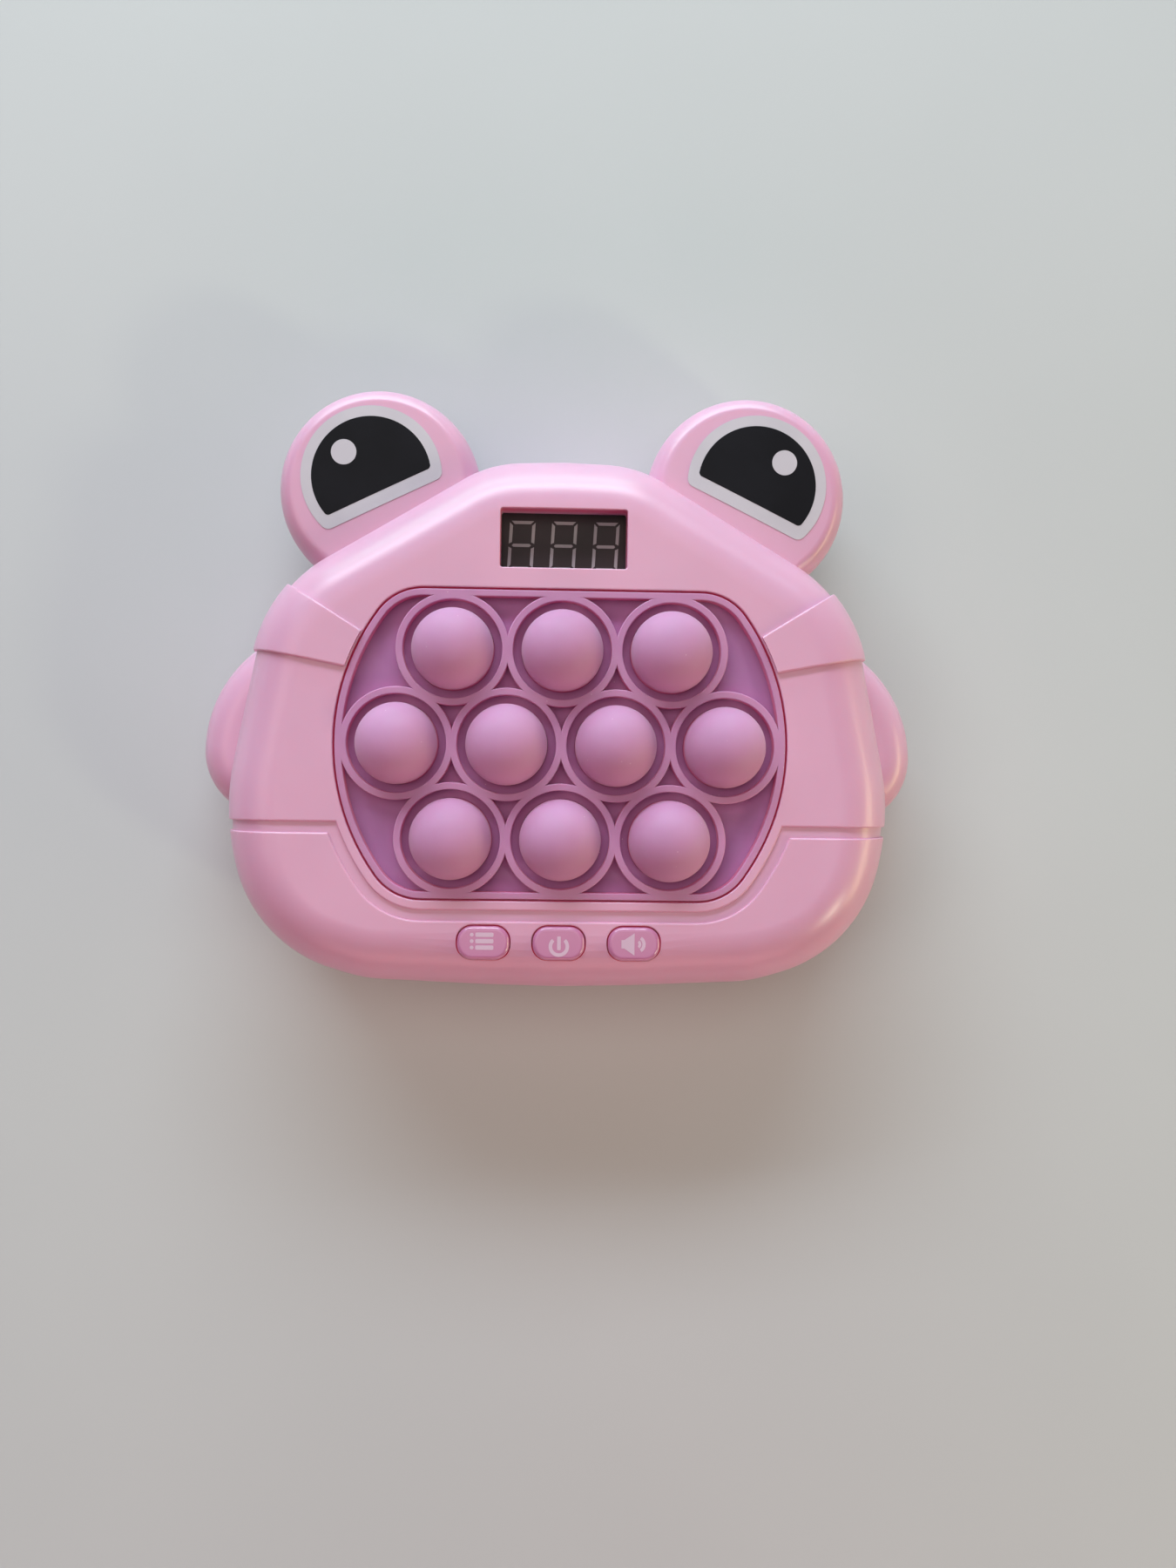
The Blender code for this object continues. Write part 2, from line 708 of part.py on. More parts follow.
def board_screw_places():
    return [(across * BOARD_SCREW_X, up * BOARD_SCREW_Y) for up in (1, -1) for across in (-1, 1)]


def button_places():
    return [(step * BUTTON_PITCH, BUTTON_Y) for step in (-1, 0, 1)]


def make_front_shell(plastic):
    """Front half: face, bezel, side bands, jaw groove, bosses and button collars."""
    shell = outside_form("front_shell")
    for side in (-1, 1):
        band = body_form("band", BAND_RISE)
        trim(band, plate("band_plan", [band_outline(side)], PARTING_Z, BODY_DEPTH + OVERRUN))
        join(shell, band)
    cut(shell, hollow_form("hollow", -WALL))

    inside = shroud()
    for x, y in housing_screw_places():
        join(inside, rod("boss", x, y, FRONT_LOW, BODY_DEPTH, PILOT + BOSS_WALL))
    for x, y in board_screw_places():
        join(inside, rod("boss", x, y, TRAY_TOP + GAP, BODY_DEPTH, SLEEVE_OUTER))
        join(inside, rod("boss", x, y, BOARD_TOP + SCREW_RADIUS, BODY_DEPTH, TRAY_BOSS))
    for x, y in button_places():
        collar = rounded_box(x, y, BUTTON_WIDTH / 2 + GAP + BUTTON_COLLAR,
                             BUTTON_HEIGHT / 2 + GAP + BUTTON_COLLAR, BUTTON_CORNER)
        join(inside, plate("collar", [collar], COLLAR_LOW, BODY_DEPTH))
    trim(inside, hollow_form("skin", -WALL / 2))
    join(shell, inside)
    trim(shell, slab("front", FRONT_LOW, BODY_DEPTH + OVERRUN))

    cut(shell, plate("window", [window_outline(0)], FRONT_LOW, BODY_DEPTH + OVERRUN))
    groove = plate("groove", [groove_outline()], FRONT_LOW - OVERRUN, BODY_DEPTH + OVERRUN)
    cut(groove, body_form("groove_floor", -GROOVE_DEPTH))
    cut(shell, groove)
    opening = rounded_box(0, DISPLAY_Y, DISPLAY_WIDTH / 2, DISPLAY_HEIGHT / 2, DISPLAY_CORNER)
    cut(shell, plate("display_opening", [opening], DISPLAY_FACE, BODY_DEPTH + OVERRUN))
    for x, y in button_places():
        hole = rounded_box(x, y, BUTTON_WIDTH / 2 + GAP, BUTTON_HEIGHT / 2 + GAP,
                           BUTTON_CORNER + GAP)
        cut(shell, plate("button_hole", [hole], COLLAR_LOW - GAP, BODY_DEPTH + OVERRUN))
    for side in (-1, 1):
        well = plate("label_well", [label_outline(side, GAP)], EYE_FRONT_Z - LABEL_WELL,
                     EYE_FRONT_Z + OVERRUN)
        cut(shell, well)
    for x, y in housing_screw_places():
        cut(shell, rod("pilot", x, y, FRONT_LOW - GAP, HOUSING_SEAT + SCREW_LENGTH + GAP, PILOT))
    for x, y in board_screw_places():
        cut(shell, rod("pilot", x, y, BOARD_TOP, BOARD_LOW + SCREW_LENGTH + GAP, PILOT))
    return finish(shell, "front_shell", plastic)


def shroud():
    """Walls round the display opening that run down to the display's face."""
    outer = rounded_box(0, DISPLAY_Y, DISPLAY_WIDTH / 2 + SHROUD_WALL,
                        DISPLAY_HEIGHT / 2 + SHROUD_WALL, DISPLAY_CORNER + SHROUD_WALL)
    return plate("shroud", [outer], DISPLAY_FACE + GAP, BODY_DEPTH)


def parting_lip():
    """Rim inside the rear shell that stands up into the front shell."""
    outline = body_outline(HOLLOW_TURN)
    inside = grow(outline, -WALL - GAP - LIP_THICK)
    root = plate("lip_root", [grow(outline, -WALL / 2), inside],
                 REAR_TOP - 2 * LIP_HEIGHT, REAR_TOP - GAP)
    return join(root, plate("lip", [grow(outline, -WALL - GAP), inside],
                            REAR_TOP - LIP_HEIGHT, REAR_TOP + LIP_HEIGHT))


def make_rear_shell(plastic):
    """Back half: battery bay, door recess, speaker seat and screw wells."""
    shell = outside_form("rear_shell")
    cut(shell, hollow_form("hollow", -WALL))
    trim(shell, slab("rear", -OVERRUN, REAR_TOP))
    join(shell, parting_lip())

    bay_x = BAY_HALF_LENGTH + BAY_WALL
    bay_y = BAY_HALF_WIDTH + BAY_WALL
    inside = box("bay", (-bay_x, BAY_Y - bay_y, 0), (bay_x, BAY_Y + bay_y, BAY_OUTSIDE))
    join(inside, plate("pan", [door_outline(DOOR_RIM + GAP)], 0, BAY_LOW + BAY_WALL))
    join(inside, rod("door_boss", 0, DOOR_SCREW_Y, 0, DOOR_SCREW_LENGTH + BAY_WALL + BAY_LOW,
                     PILOT + BOSS_WALL))
    seat = rod("speaker_seat", 0, SPEAKER_Y, 0, WALL + SPEAKER_DEPTH,
               SPEAKER_RADIUS + GAP + SPEAKER_RIB, RING_STEPS)
    cut(seat, rod("speaker_room", 0, SPEAKER_Y, -OVERRUN, WALL + SPEAKER_DEPTH + OVERRUN,
                  SPEAKER_RADIUS + GAP, RING_STEPS))
    join(inside, seat)
    for x, y in housing_screw_places():
        join(inside, rod("boss", x, y, 0, REAR_TOP - PARTING_SET_BACK, HEAD_WELL + BOSS_WALL))
    trim(inside, hollow_form("skin", -WALL / 2))
    join(shell, inside)

    cut(shell, plate("door_recess", [door_outline(GAP)], -OVERRUN, BAY_LOW))
    cut(shell, box("bay_room", (-BAY_HALF_LENGTH, BAY_Y - BAY_HALF_WIDTH, DOOR_RECESS),
                   (BAY_HALF_LENGTH, BAY_Y + BAY_HALF_WIDTH, BAY_INSIDE)))
    for tab in door_tabs(GAP):
        cut(shell, tab)
    cut(shell, rod("door_pilot", 0, DOOR_SCREW_Y, DOOR_RECESS,
                   DOOR_SCREW_LENGTH + BAY_LOW + GAP, PILOT))
    for x, y in housing_screw_places():
        cut(shell, rod("well", x, y, -OVERRUN, HOUSING_SEAT, HEAD_WELL))
        cut(shell, rod("hole", x, y, 0, REAR_TOP + OVERRUN, PILOT))
    for slot in grille_slots():
        cut(shell, slot)
    return finish(shell, "rear_shell", plastic)


def grille_slots():
    """Slots in the back under the speaker, shorter towards the edge."""
    slots = []
    reach = SPEAKER_RADIUS * GRILLE_REACH_SHARE
    for index in range(GRILLE_SLOTS):
        down = (index - (GRILLE_SLOTS - 1) / 2) * GRILLE_PITCH
        half = math.sqrt(max(reach ** 2 - down ** 2, GRILLE_PITCH ** 2))
        outline = rounded_box(0, SPEAKER_Y + down, half, GRILLE_SLOT_WIDTH / 2,
                              GRILLE_SLOT_WIDTH * GRILLE_END_SHARE)
        slots.append(plate("slot", [outline], -OVERRUN, WALL + OVERRUN))
    return slots


def door_outline(clearance):
    middle = (DOOR_Y_HIGH + DOOR_Y_LOW) / 2
    half = (DOOR_Y_HIGH - DOOR_Y_LOW) / 2
    return rounded_box(0, middle, DOOR_HALF_WIDTH + clearance, half + clearance,
                       DOOR_CORNER + clearance)


def door_tabs(clearance):
    """Two tongues on the door's upper edge, or their pockets at a clearance."""
    tabs = []
    middle = DOOR_RECESS + DOOR_THICK / 2
    for side in (-1, 1):
        x = side * DOOR_HALF_WIDTH * TAB_SPREAD_SHARE
        half = TAB_WIDTH / 2 + clearance
        half_thick = TAB_THICK / 2 + clearance
        tip = DOOR_Y_HIGH + TAB_LENGTH + 2 * clearance
        tabs.append(box("tab", (x - half, DOOR_Y_HIGH - OVERRUN, middle - half_thick),
                        (x + half, tip, middle + half_thick)))
    return tabs


def make_battery_door(plastic):
    door = plate("battery_door", [door_outline(0)], DOOR_RECESS, DOOR_TOP)
    join(door, *door_tabs(0))
    seat = DOOR_RECESS + DOOR_SCREW_HEAD + GAP
    cut(door, rod("hole", 0, DOOR_SCREW_Y, 0, DOOR_TOP + OVERRUN, PILOT))
    cut(door, rod("head_room", 0, DOOR_SCREW_Y, -OVERRUN, seat, HEAD_WELL))
    return finish(door, "battery_door", plastic)


def make_screw(name, steel, x, y, seat, head, length):
    """Pan-head screw put in from the back, its head just under its seat."""
    under = seat - GAP
    profile = [(0, under - head), (SCREW_HEAD_RADIUS * HEAD_FLAT_SHARE, under - head),
               (SCREW_HEAD_RADIUS, under - head * HEAD_EDGE_SHARE), (SCREW_HEAD_RADIUS, under),
               (SCREW_RADIUS, under), (SCREW_RADIUS, seat + length - SCREW_RADIUS),
               (0, seat + length)]
    return finish(turned(name, profile, BOSS_STEPS, x, y), name, steel)


def make_screws(steel):
    for group, places, seat in (("housing", housing_screw_places(), HOUSING_SEAT),
                                ("board", board_screw_places(), BOARD_LOW)):
        for index, (x, y) in enumerate(places):
            make_screw(f"{group}_screw_{index + 1}", steel, x, y, seat, SCREW_HEAD, SCREW_LENGTH)
    make_screw("battery_door_screw", steel, 0, DOOR_SCREW_Y, DOOR_RECESS + DOOR_SCREW_HEAD + GAP,
               DOOR_SCREW_HEAD, DOOR_SCREW_LENGTH)


def make_labels(film):
    for side, name in ((-1, "eye_label_left"), (1, "eye_label_right")):
        low = EYE_FRONT_Z - LABEL_WELL + GAP
        finish(plate(name, [label_outline(side)], low, low + LABEL_THICK), name, film)


def make_pop_pad(silicone):
    """Silicone sheet: clamped flange, rim, web and a raised ring round each bubble."""
    holes = [circle(x, y, DOME_HOLE, RING_STEPS) for x, y in bubble_places()]
    pad = plate("pop_pad", [window_outline(PAD_FLANGE)] + holes, PAD_LOW, WEB_TOP)
    start = PAD_LOW + PAD_EMBED
    inner = window_outline(-GAP - PAD_RIM)
    join(pad, plate("flange", [window_outline(PAD_FLANGE), inner], start, FACE_INSIDE - GAP))
    join(pad, plate("rim", [window_outline(-GAP), inner], start, BODY_DEPTH - PAD_RIM_DROP))
    for x, y in bubble_places():
        ring = [circle(x, y, RING_OUTER, RING_STEPS), circle(x, y, RING_INNER, RING_STEPS)]
        join(pad, plate("ring", ring, start, BODY_DEPTH))
    trim(pad, plate("pad_edge", [window_outline(PAD_FLANGE)], PAD_LOW - OVERRUN,
                    BODY_DEPTH + OVERRUN))
    return finish(pad, "pop_pad", silicone)


def make_bubble(name, silicone, x, y):
    """Hollow dome with a straight skirt, its origin on the pad's web."""
    quarter = arc((0, 0), 1, 0, math.pi / 2, math.pi / 2 / OUTER_SEGMENTS)
    inner_quarter = arc((0, 0), 1, math.pi / 2, -math.pi / 2, math.pi / 2 / HOLLOW_SEGMENTS)
    inner_radius = DOME_RADIUS - DOME_WALL
    outer = [(DOME_RADIUS * u, DOME_SIDE + DOME_RISE * v) for u, v in quarter[:-1]]
    inner = [(inner_radius * u, DOME_SIDE + (DOME_RISE - DOME_WALL) * v)
             for u, v in inner_quarter[1:]]
    top = [(0, DOME_SIDE + DOME_RISE)]
    hollow = [(0, DOME_SIDE + DOME_RISE - DOME_WALL)]
    profile = hollow + inner + [(inner_radius, -WEB), (DOME_RADIUS, -WEB)] + outer + top
    return finish(turned(name, profile, BUBBLE_STEPS), name, silicone, (x, y, WEB_TOP))


def make_light_cap(name, clear, x, y):
    """Milky cap that fills the bubble and carries its push down to the switch."""
    foot = SWITCH_TOP + BUBBLE_TRAVEL + GAP - WEB_TOP
    radius = DOME_RADIUS - DOME_WALL - GAP
    rise = DOME_RISE - DOME_WALL - GAP
    quarter = arc((0, 0), 1, 0, math.pi / 2, math.pi / 2 / HOLLOW_SEGMENTS)
    dome = [(radius * u, DOME_SIDE + rise * v) for u, v in quarter[:-1]]
    profile = [(0, foot), (CAP_STEM_RADIUS, foot), (CAP_STEM_RADIUS, 0), (radius, 0)]
    profile += dome + [(0, DOME_SIDE + rise)]
    return finish(turned(name, profile, CAP_STEPS), name, clear, (x, y, WEB_TOP))


def make_bubbles(silicone, clear):
    for index, (x, y) in enumerate(bubble_places()):
        make_bubble(f"bubble_{index + 1:02d}", silicone, x, y)
        make_light_cap(f"light_cap_{index + 1:02d}", clear, x, y)


def make_tray(plastic):
    """Perforated tray that clamps the pad's flange against the face."""
    holes = [circle(x, y, TRAY_HOLE, TRAY_HOLE_STEPS) for x, y in bubble_places()]
    tray = plate("pad_tray", [window_outline(PAD_FLANGE)] + holes, TRAY_LOW, TRAY_TOP)
    for x, y in board_screw_places():
        side = 1 if y > 0 else -1
        inward = WINDOW_HALF_HEIGHT
        middle = (abs(y) + inward) / 2
        ear = rounded_box(x, side * middle, SLEEVE_OUTER, (abs(y) - inward) / 2 + SLEEVE_OUTER,
                          SLEEVE_OUTER * EAR_CORNER_SHARE)
        join(tray, plate("ear", [ear], TRAY_LOW + TRAY_THICK / 4, TRAY_TOP))
        join(tray, rod("sleeve", x, y, BOARD_TOP + GAP, TRAY_TOP - TRAY_THICK / 2, SLEEVE_OUTER))
        cut(tray, rod("bore", x, y, BOARD_TOP - OVERRUN, TRAY_TOP + OVERRUN, SLEEVE_INNER))
    return finish(tray, "pad_tray", plastic)


def board_outline():
    """Board with its upper corners cut to clear the shoulders."""
    across = WIDE_ROW_REACH + RING_OUTER - GAP
    low = BUTTON_Y - SWITCH_SIDE / 2 - GAP * 2
    shoulder = WINDOW_HALF_HEIGHT - BOARD_SCREW_OUT
    ear_x = BOARD_SCREW_X + BOARD_MARGIN
    ear_y = BOARD_SCREW_Y + BOARD_MARGIN
    neck = DISPLAY_WIDTH / 2 + BOARD_MARGIN
    high = DISPLAY_Y + DISPLAY_HEIGHT / 2
    right = [(neck, high), (ear_x, ear_y), (across, shoulder), (across, low)]
    left = [(-x, y) for x, y in reversed(right)]
    return rounded_outline([(x, y, BOARD_MARGIN) for x, y in right + left], SMALL_TURN)


def make_board(laminate):
    """Board with a tact switch and a lamp under each bubble and a switch under each button."""
    holes = [circle(x, y, PILOT, BOSS_STEPS) for x, y in board_screw_places()]
    board = plate("main_board", [board_outline()] + holes, BOARD_LOW, BOARD_TOP)
    inset = BOARD_THICK / 2
    half = SWITCH_SIDE / 2
    for x, y in bubble_places() + button_places():
        join(board, box("switch", (x - half, y - half, BOARD_TOP - inset),
                        (x + half, y + half, BOARD_TOP + SWITCH_BODY)))
        join(board, rod("stem", x, y, BOARD_TOP, SWITCH_TOP, SWITCH_STEM_RADIUS, STEM_STEPS))
    for x, y in bubble_places():
        lamp_y = y + half + LAMP_WIDTH
        join(board, box("lamp", (x - LAMP_LENGTH / 2, lamp_y - LAMP_WIDTH / 2, BOARD_TOP - inset),
                        (x + LAMP_LENGTH / 2, lamp_y + LAMP_WIDTH / 2, BOARD_TOP + LAMP_HEIGHT)))
    return finish(board, "main_board", laminate)


def make_display(resin):
    """Three-digit module on two rows of pins, its face at the bottom of the shroud."""
    half_width = DISPLAY_WIDTH / 2 + MODULE_MARGIN
    half_height = DISPLAY_HEIGHT / 2 + MODULE_MARGIN / 2
    low = BOARD_TOP + GAP + MODULE_STANDOFF
    module = box("display_module", (-half_width, DISPLAY_Y - half_height, low),
                 (half_width, DISPLAY_Y + half_height, DISPLAY_FACE))
    for row in (-1, 1):
        for index in range(PINS_PER_ROW):
            x = (index - (PINS_PER_ROW - 1) / 2) * PIN_PITCH
            y = DISPLAY_Y + row * DISPLAY_HEIGHT * PIN_ROW_SHARE
            join(module, rod("pin", x, y, BOARD_TOP + GAP, low + MODULE_STANDOFF, PIN_RADIUS,
                             PIN_STEPS))
    return finish(module, "display_module", resin)


def make_buttons(plastic):
    """Three caps, each with a flange under its collar and a stem down to its switch."""
    half_width = BUTTON_WIDTH / 2
    half_height = BUTTON_HEIGHT / 2
    flange_top = COLLAR_LOW - GAP - WEB_TOP
    for (x, y), name in zip(button_places(), ("menu_button", "power_button", "sound_button")):
        cap = rounded_box(0, 0, half_width, half_height, BUTTON_CORNER)
        button = plate(name, [cap], flange_top - BUTTON_FLANGE_THICK / 2, BUTTON_TOP - WEB_TOP)
        round_rim(button, BUTTON_TOP - WEB_TOP, BUTTON_ROUND, HOLLOW_SEGMENTS)
        foot = rounded_box(0, 0, half_width + BUTTON_FLANGE, half_height + BUTTON_FLANGE,
                           BUTTON_CORNER)
        join(button, plate("flange", [foot], flange_top - BUTTON_FLANGE_THICK, flange_top))
        join(button, rod("stem", 0, 0, SWITCH_TOP + BUTTON_TRAVEL + GAP - WEB_TOP,
                         flange_top, BUTTON_STEM_RADIUS))
        finish(button, name, plastic, (x, y, WEB_TOP))


def cell_places():
    return [BAY_Y + (index - (CELL_COUNT - 1) / 2) * CELL_PITCH for index in range(CELL_COUNT)]


def make_cells(sleeve):
    """Three cells side by side, alternating ends."""
    half = CELL_LENGTH / 2
    radius = CELL_DIAMETER / 2
    shoulder = half - CELL_NUB
    profile = [(0, -half), (radius, -half), (radius, shoulder), (CELL_NUB_RADIUS, shoulder),
               (CELL_NUB_RADIUS, half), (0, half)]
    for index, y in enumerate(cell_places()):
        name = f"battery_{index + 1}"
        cell = finish(turned(name, profile, CELL_STEPS), name, sleeve, (0, y, CELL_Z))
        cell.rotation_euler = (0, math.radians(90 if index % 2 == 0 else -90), 0)


def make_contacts(steel):
    """Contact strips at the two ends of the bay, each with a cone spring for each cell."""
    reach = CONTACT_ROOM - GAP
    half_width = BAY_HALF_WIDTH - GAP
    half_height = CONTACT_HEIGHT / 2
    for side, name in ((-1, "contact_strip_left"), (1, "contact_strip_right")):
        wall = side * (BAY_HALF_LENGTH - GAP)
        inner = wall - side * CONTACT_THICK
        strip = box(name, (min(wall, inner), BAY_Y - half_width, CELL_Z - half_height),
                    (max(wall, inner), BAY_Y + half_width, CELL_Z + half_height))
        inward = Matrix.Rotation(math.radians(-90 * side), 4, "Y")
        for y in cell_places():
            spring = rod("spring", 0, 0, GAP, reach - GAP, SPRING_RADIUS, BOSS_STEPS, SPRING_TIP)
            spring.data.transform(Matrix.Translation((wall, y, CELL_Z)) @ inward)
            join(strip, spring)
        finish(strip, name, steel)


def make_speaker(metal):
    """Small cone speaker, its frame on the rear shell's seat and its magnet upwards."""
    low = WALL + GAP
    basket = low + SPEAKER_DEPTH
    profile = [(0, low), (SPEAKER_RADIUS, low),
               (SPEAKER_RADIUS, low + SPEAKER_DEPTH * SPEAKER_FRAME_SHARE),
               (SPEAKER_MAGNET_RADIUS, basket), (SPEAKER_MAGNET_RADIUS, basket + SPEAKER_MAGNET),
               (0, basket + SPEAKER_MAGNET)]
    return finish(turned("speaker", profile, RING_STEPS, 0, SPEAKER_Y), "speaker", metal)


clear_scene()
TOY = make_collection("bubble_pop_game")
WORKPIECES = make_collection("workpieces")
CARRIER = bpy.data.objects.new("toy_carrier", None)
TOY.objects.link(CARRIER)
CARRIER.location = (0, ORIGIN_Y, 0)

PINK_PLASTIC = make_material("pink_plastic", (0.72, 0.36, 0.50), 0.42)
GLOSS_PINK = make_material("gloss_pink_plastic", (0.62, 0.32, 0.46), 0.22)
SILICONE = make_material("mauve_silicone", (0.52, 0.24, 0.40), 0.60)
MILKY = make_material("milky_plastic", (0.80, 0.80, 0.80), 0.35)
LABEL_FILM = make_material("label_film", (0.90, 0.90, 0.92), 0.35)
DARK_RESIN = make_material("display_resin", (0.03, 0.03, 0.03), 0.30)
LAMINATE = make_material("board_laminate", (0.04, 0.22, 0.10), 0.45)
WHITE_PLASTIC = make_material("white_plastic", (0.75, 0.75, 0.74), 0.50)
STEEL = make_material("plated_steel", (0.62, 0.62, 0.60), 0.35, 1.0)
CELL_SLEEVE = make_material("cell_sleeve", (0.10, 0.11, 0.13), 0.40)

make_front_shell(PINK_PLASTIC)
make_rear_shell(PINK_PLASTIC)
make_battery_door(PINK_PLASTIC)
make_labels(LABEL_FILM)
make_pop_pad(SILICONE)
make_bubbles(SILICONE, MILKY)
make_tray(WHITE_PLASTIC)
make_board(LAMINATE)
make_display(DARK_RESIN)
make_buttons(GLOSS_PINK)
make_cells(CELL_SLEEVE)
make_contacts(STEEL)
make_speaker(STEEL)
make_screws(STEEL)
bpy.context.view_layer.update()
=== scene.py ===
import math

import bmesh
import bpy
from mathutils import Matrix, Vector


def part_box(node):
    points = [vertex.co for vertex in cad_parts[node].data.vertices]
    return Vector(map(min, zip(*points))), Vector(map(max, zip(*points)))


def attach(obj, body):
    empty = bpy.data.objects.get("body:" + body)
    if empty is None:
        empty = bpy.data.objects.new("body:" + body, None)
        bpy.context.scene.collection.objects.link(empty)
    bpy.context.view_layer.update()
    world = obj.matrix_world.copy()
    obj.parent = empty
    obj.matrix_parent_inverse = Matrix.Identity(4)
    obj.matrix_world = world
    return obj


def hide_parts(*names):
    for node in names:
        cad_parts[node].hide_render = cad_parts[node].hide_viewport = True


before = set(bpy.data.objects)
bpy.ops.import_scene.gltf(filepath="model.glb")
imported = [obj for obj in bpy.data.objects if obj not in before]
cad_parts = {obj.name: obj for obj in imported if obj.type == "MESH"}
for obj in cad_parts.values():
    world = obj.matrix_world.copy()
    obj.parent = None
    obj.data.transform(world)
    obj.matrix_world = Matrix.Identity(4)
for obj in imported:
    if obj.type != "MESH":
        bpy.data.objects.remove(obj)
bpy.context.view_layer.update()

MM = 0.001
WELD = 0.001 * MM
OVERRUN = 2.0 * MM
CLEAR = 20.0 * MM

# Facets
FINE_TURN = math.radians(4)
COARSE_TURN = math.radians(12)
WINDOW_TURN = math.radians(3)
FINE_SEGMENTS = 12
COARSE_SEGMENTS = 4
BUTTON_SEGMENTS = 8
MODULE_SEGMENTS = 3
LIP_STEPS = 4
LIP_SPACING = 0.8 * MM
EYE_STEPS = 96
EYE_HOLLOW_STEPS = 32
EYE_FACE_STEPS = 6
ROUND_STEPS = 48
RING_STEPS = 72
DOME_STEPS = 64
SCREW_STEPS = 40
SMALL_STEPS = 24
PIN_STEPS = 12
FILLET_ROOM_SHARE = 0.96
LEAST_MITRE_SHARE = 0.5
SHARP_ANGLE = math.radians(35)

# The part's own sizes, about the middle of the bubble pad
BODY_HALF_WIDTH = 74.7 * MM
BODY_TOP = 65.0 * MM
BODY_BOTTOM = 54.6 * MM
BODY_DEPTH = 39.0 * MM
FRONT_ROUND = 13.0 * MM
BACK_ROUND = 10.0 * MM
WALL = 2.2 * MM
PARTING_Z = 19.5 * MM
BODY_UPPER_CORNER_SHARES = [(0.0, 1.002, 1.95), (0.231, 0.984, 0.366), (0.886, 0.534, 0.45)]
BODY_LOWER_CORNER_SHARES = [(1.019, 0.272, 0.794), (0.923, 0.839, 0.471), (0.589, 0.975, 0.397),
                            (0.0, 1.010, 5.0)]
EYE_RADIUS = 22.95 * MM
EYE_FRONT_Z = 30.0 * MM
EYE_BACK_Z = 8.0 * MM
EYE_RIM = 4.2 * MM
EYE_RIM_DEPTH = 7.0 * MM
EYE_ACROSS_SHARE = 0.5622
EYE_UP_SHARE = 0.8931
EYE_X = BODY_HALF_WIDTH * EYE_ACROSS_SHARE
EYE_Y = BODY_TOP * EYE_UP_SHARE
LABEL_OUT_SHARE = 0.061
LABEL_UP_SHARE = 0.0937
LABEL_X = EYE_X + EYE_RADIUS * LABEL_OUT_SHARE
LABEL_Y = EYE_Y + EYE_RADIUS * LABEL_UP_SHARE
LABEL_TILT = math.radians(26)
ARM_REACH = 8.7 * MM
ARM_LENGTH = 37.6 * MM
ARM_HALF_THICK = 9.0 * MM
ARM_ROUND = 8.0 * MM
ARM_ROOT = 26.0 * MM
ARM_Z = 14.0 * MM
ARM_CENTRE_SHARE = 0.0455
ARM_BEND_RADIUS = 31.0 * MM
ARM_TIP_RADIUS = 16.0 * MM
ARM_ACROSS_SHARES = {"bend": 0.90, "tip": 1.09}
ARM_UP_SHARES = {"root": 0.64, "bend": 0.272, "tip": -0.314, "end": -0.6}
PITCH = 24.0 * MM
ROWS = (3, 4, 3)
ROW_PITCH = PITCH * math.sin(math.radians(60))
WIDE_ROW_REACH = PITCH * (max(ROWS) - 1) / 2
DOME_RADIUS = 8.96 * MM
DOME_RISE = 8.2 * MM
DOME_SIDE = 2.6 * MM
DOME_WALL = 1.6 * MM
RING_INNER = 10.85 * MM
RING_WALL = 1.56 * MM
RING_OUTER = RING_INNER + RING_WALL
WEB_TOP = 36.0 * MM
WEB = 1.4 * MM
PAD_FLANGE = 2.7 * MM
PAD_LEDGE = 36.5 * MM
WINDOW_SIDE_MARGIN = 1.39 * MM
WINDOW_END_MARGIN = 1.05 * MM
WINDOW_RADIUS = WIDE_ROW_REACH + RING_OUTER + WINDOW_SIDE_MARGIN
WINDOW_HALF_HEIGHT = ROW_PITCH + RING_OUTER + WINDOW_END_MARGIN
WINDOW_CORNER = 12.5 * MM
GROOVE_INSET = 2.05 * MM
GROOVE_WIDTH = 2.4 * MM
GROOVE_DOWN = 17.3 * MM
GROOVE_TURN_ROOM = 0.3 * MM
BAND_RISE = 0.9 * MM
BAND_FROM = math.radians(19.5)
BAND_TO = math.radians(29.0)
BAND_LOW_SLOPE = math.radians(11.0)
BAND_TOP_SLOPE = math.radians(32.0)
DISPLAY_WIDTH = 27.8 * MM
DISPLAY_HEIGHT = 13.0 * MM
DISPLAY_CORNER = 0.6 * MM
DISPLAY_UP = 11.05 * MM
DISPLAY_Y = WINDOW_HALF_HEIGHT + DISPLAY_UP
DISPLAY_FACE = 33.0 * MM
SHROUD_WALL = 1.2 * MM
SHROUD_GAP = 0.3 * MM
MODULE_SIDE_MARGIN = 1.1 * MM
MODULE_END_MARGIN = 0.55 * MM
MODULE_LOW = 23.1 * MM
PINS_PER_ROW = 6
PIN_PITCH = 4.4 * MM
PIN_ROW = 4.68 * MM
PIN_LOW = 21.9 * MM
PIN_TOP = 24.3 * MM
PIN_RADIUS = 0.4 * MM
BUTTON_WIDTH = 11.5 * MM
BUTTON_HEIGHT = 7.5 * MM
BUTTON_CORNER = 3.4 * MM
BUTTON_PITCH = 16.5 * MM
BUTTON_DOWN = 11.2 * MM
BUTTON_Y = BUTTON_DOWN - BODY_BOTTOM
BUTTON_TOP = 39.4 * MM
COLLAR = 1.8 * MM
COLLAR_LOW = 34.0 * MM
BUTTON_LOW = COLLAR_LOW - 1.0 * MM
BUTTON_FLANGE = 1.25 * MM
BUTTON_FLANGE_LOW = COLLAR_LOW - 1.3 * MM
BUTTON_FLANGE_TOP = COLLAR_LOW - 0.35 * MM
BUTTON_STEM_LOW = 27.5 * MM
BUTTON_STEM_RADIUS = 2.0 * MM
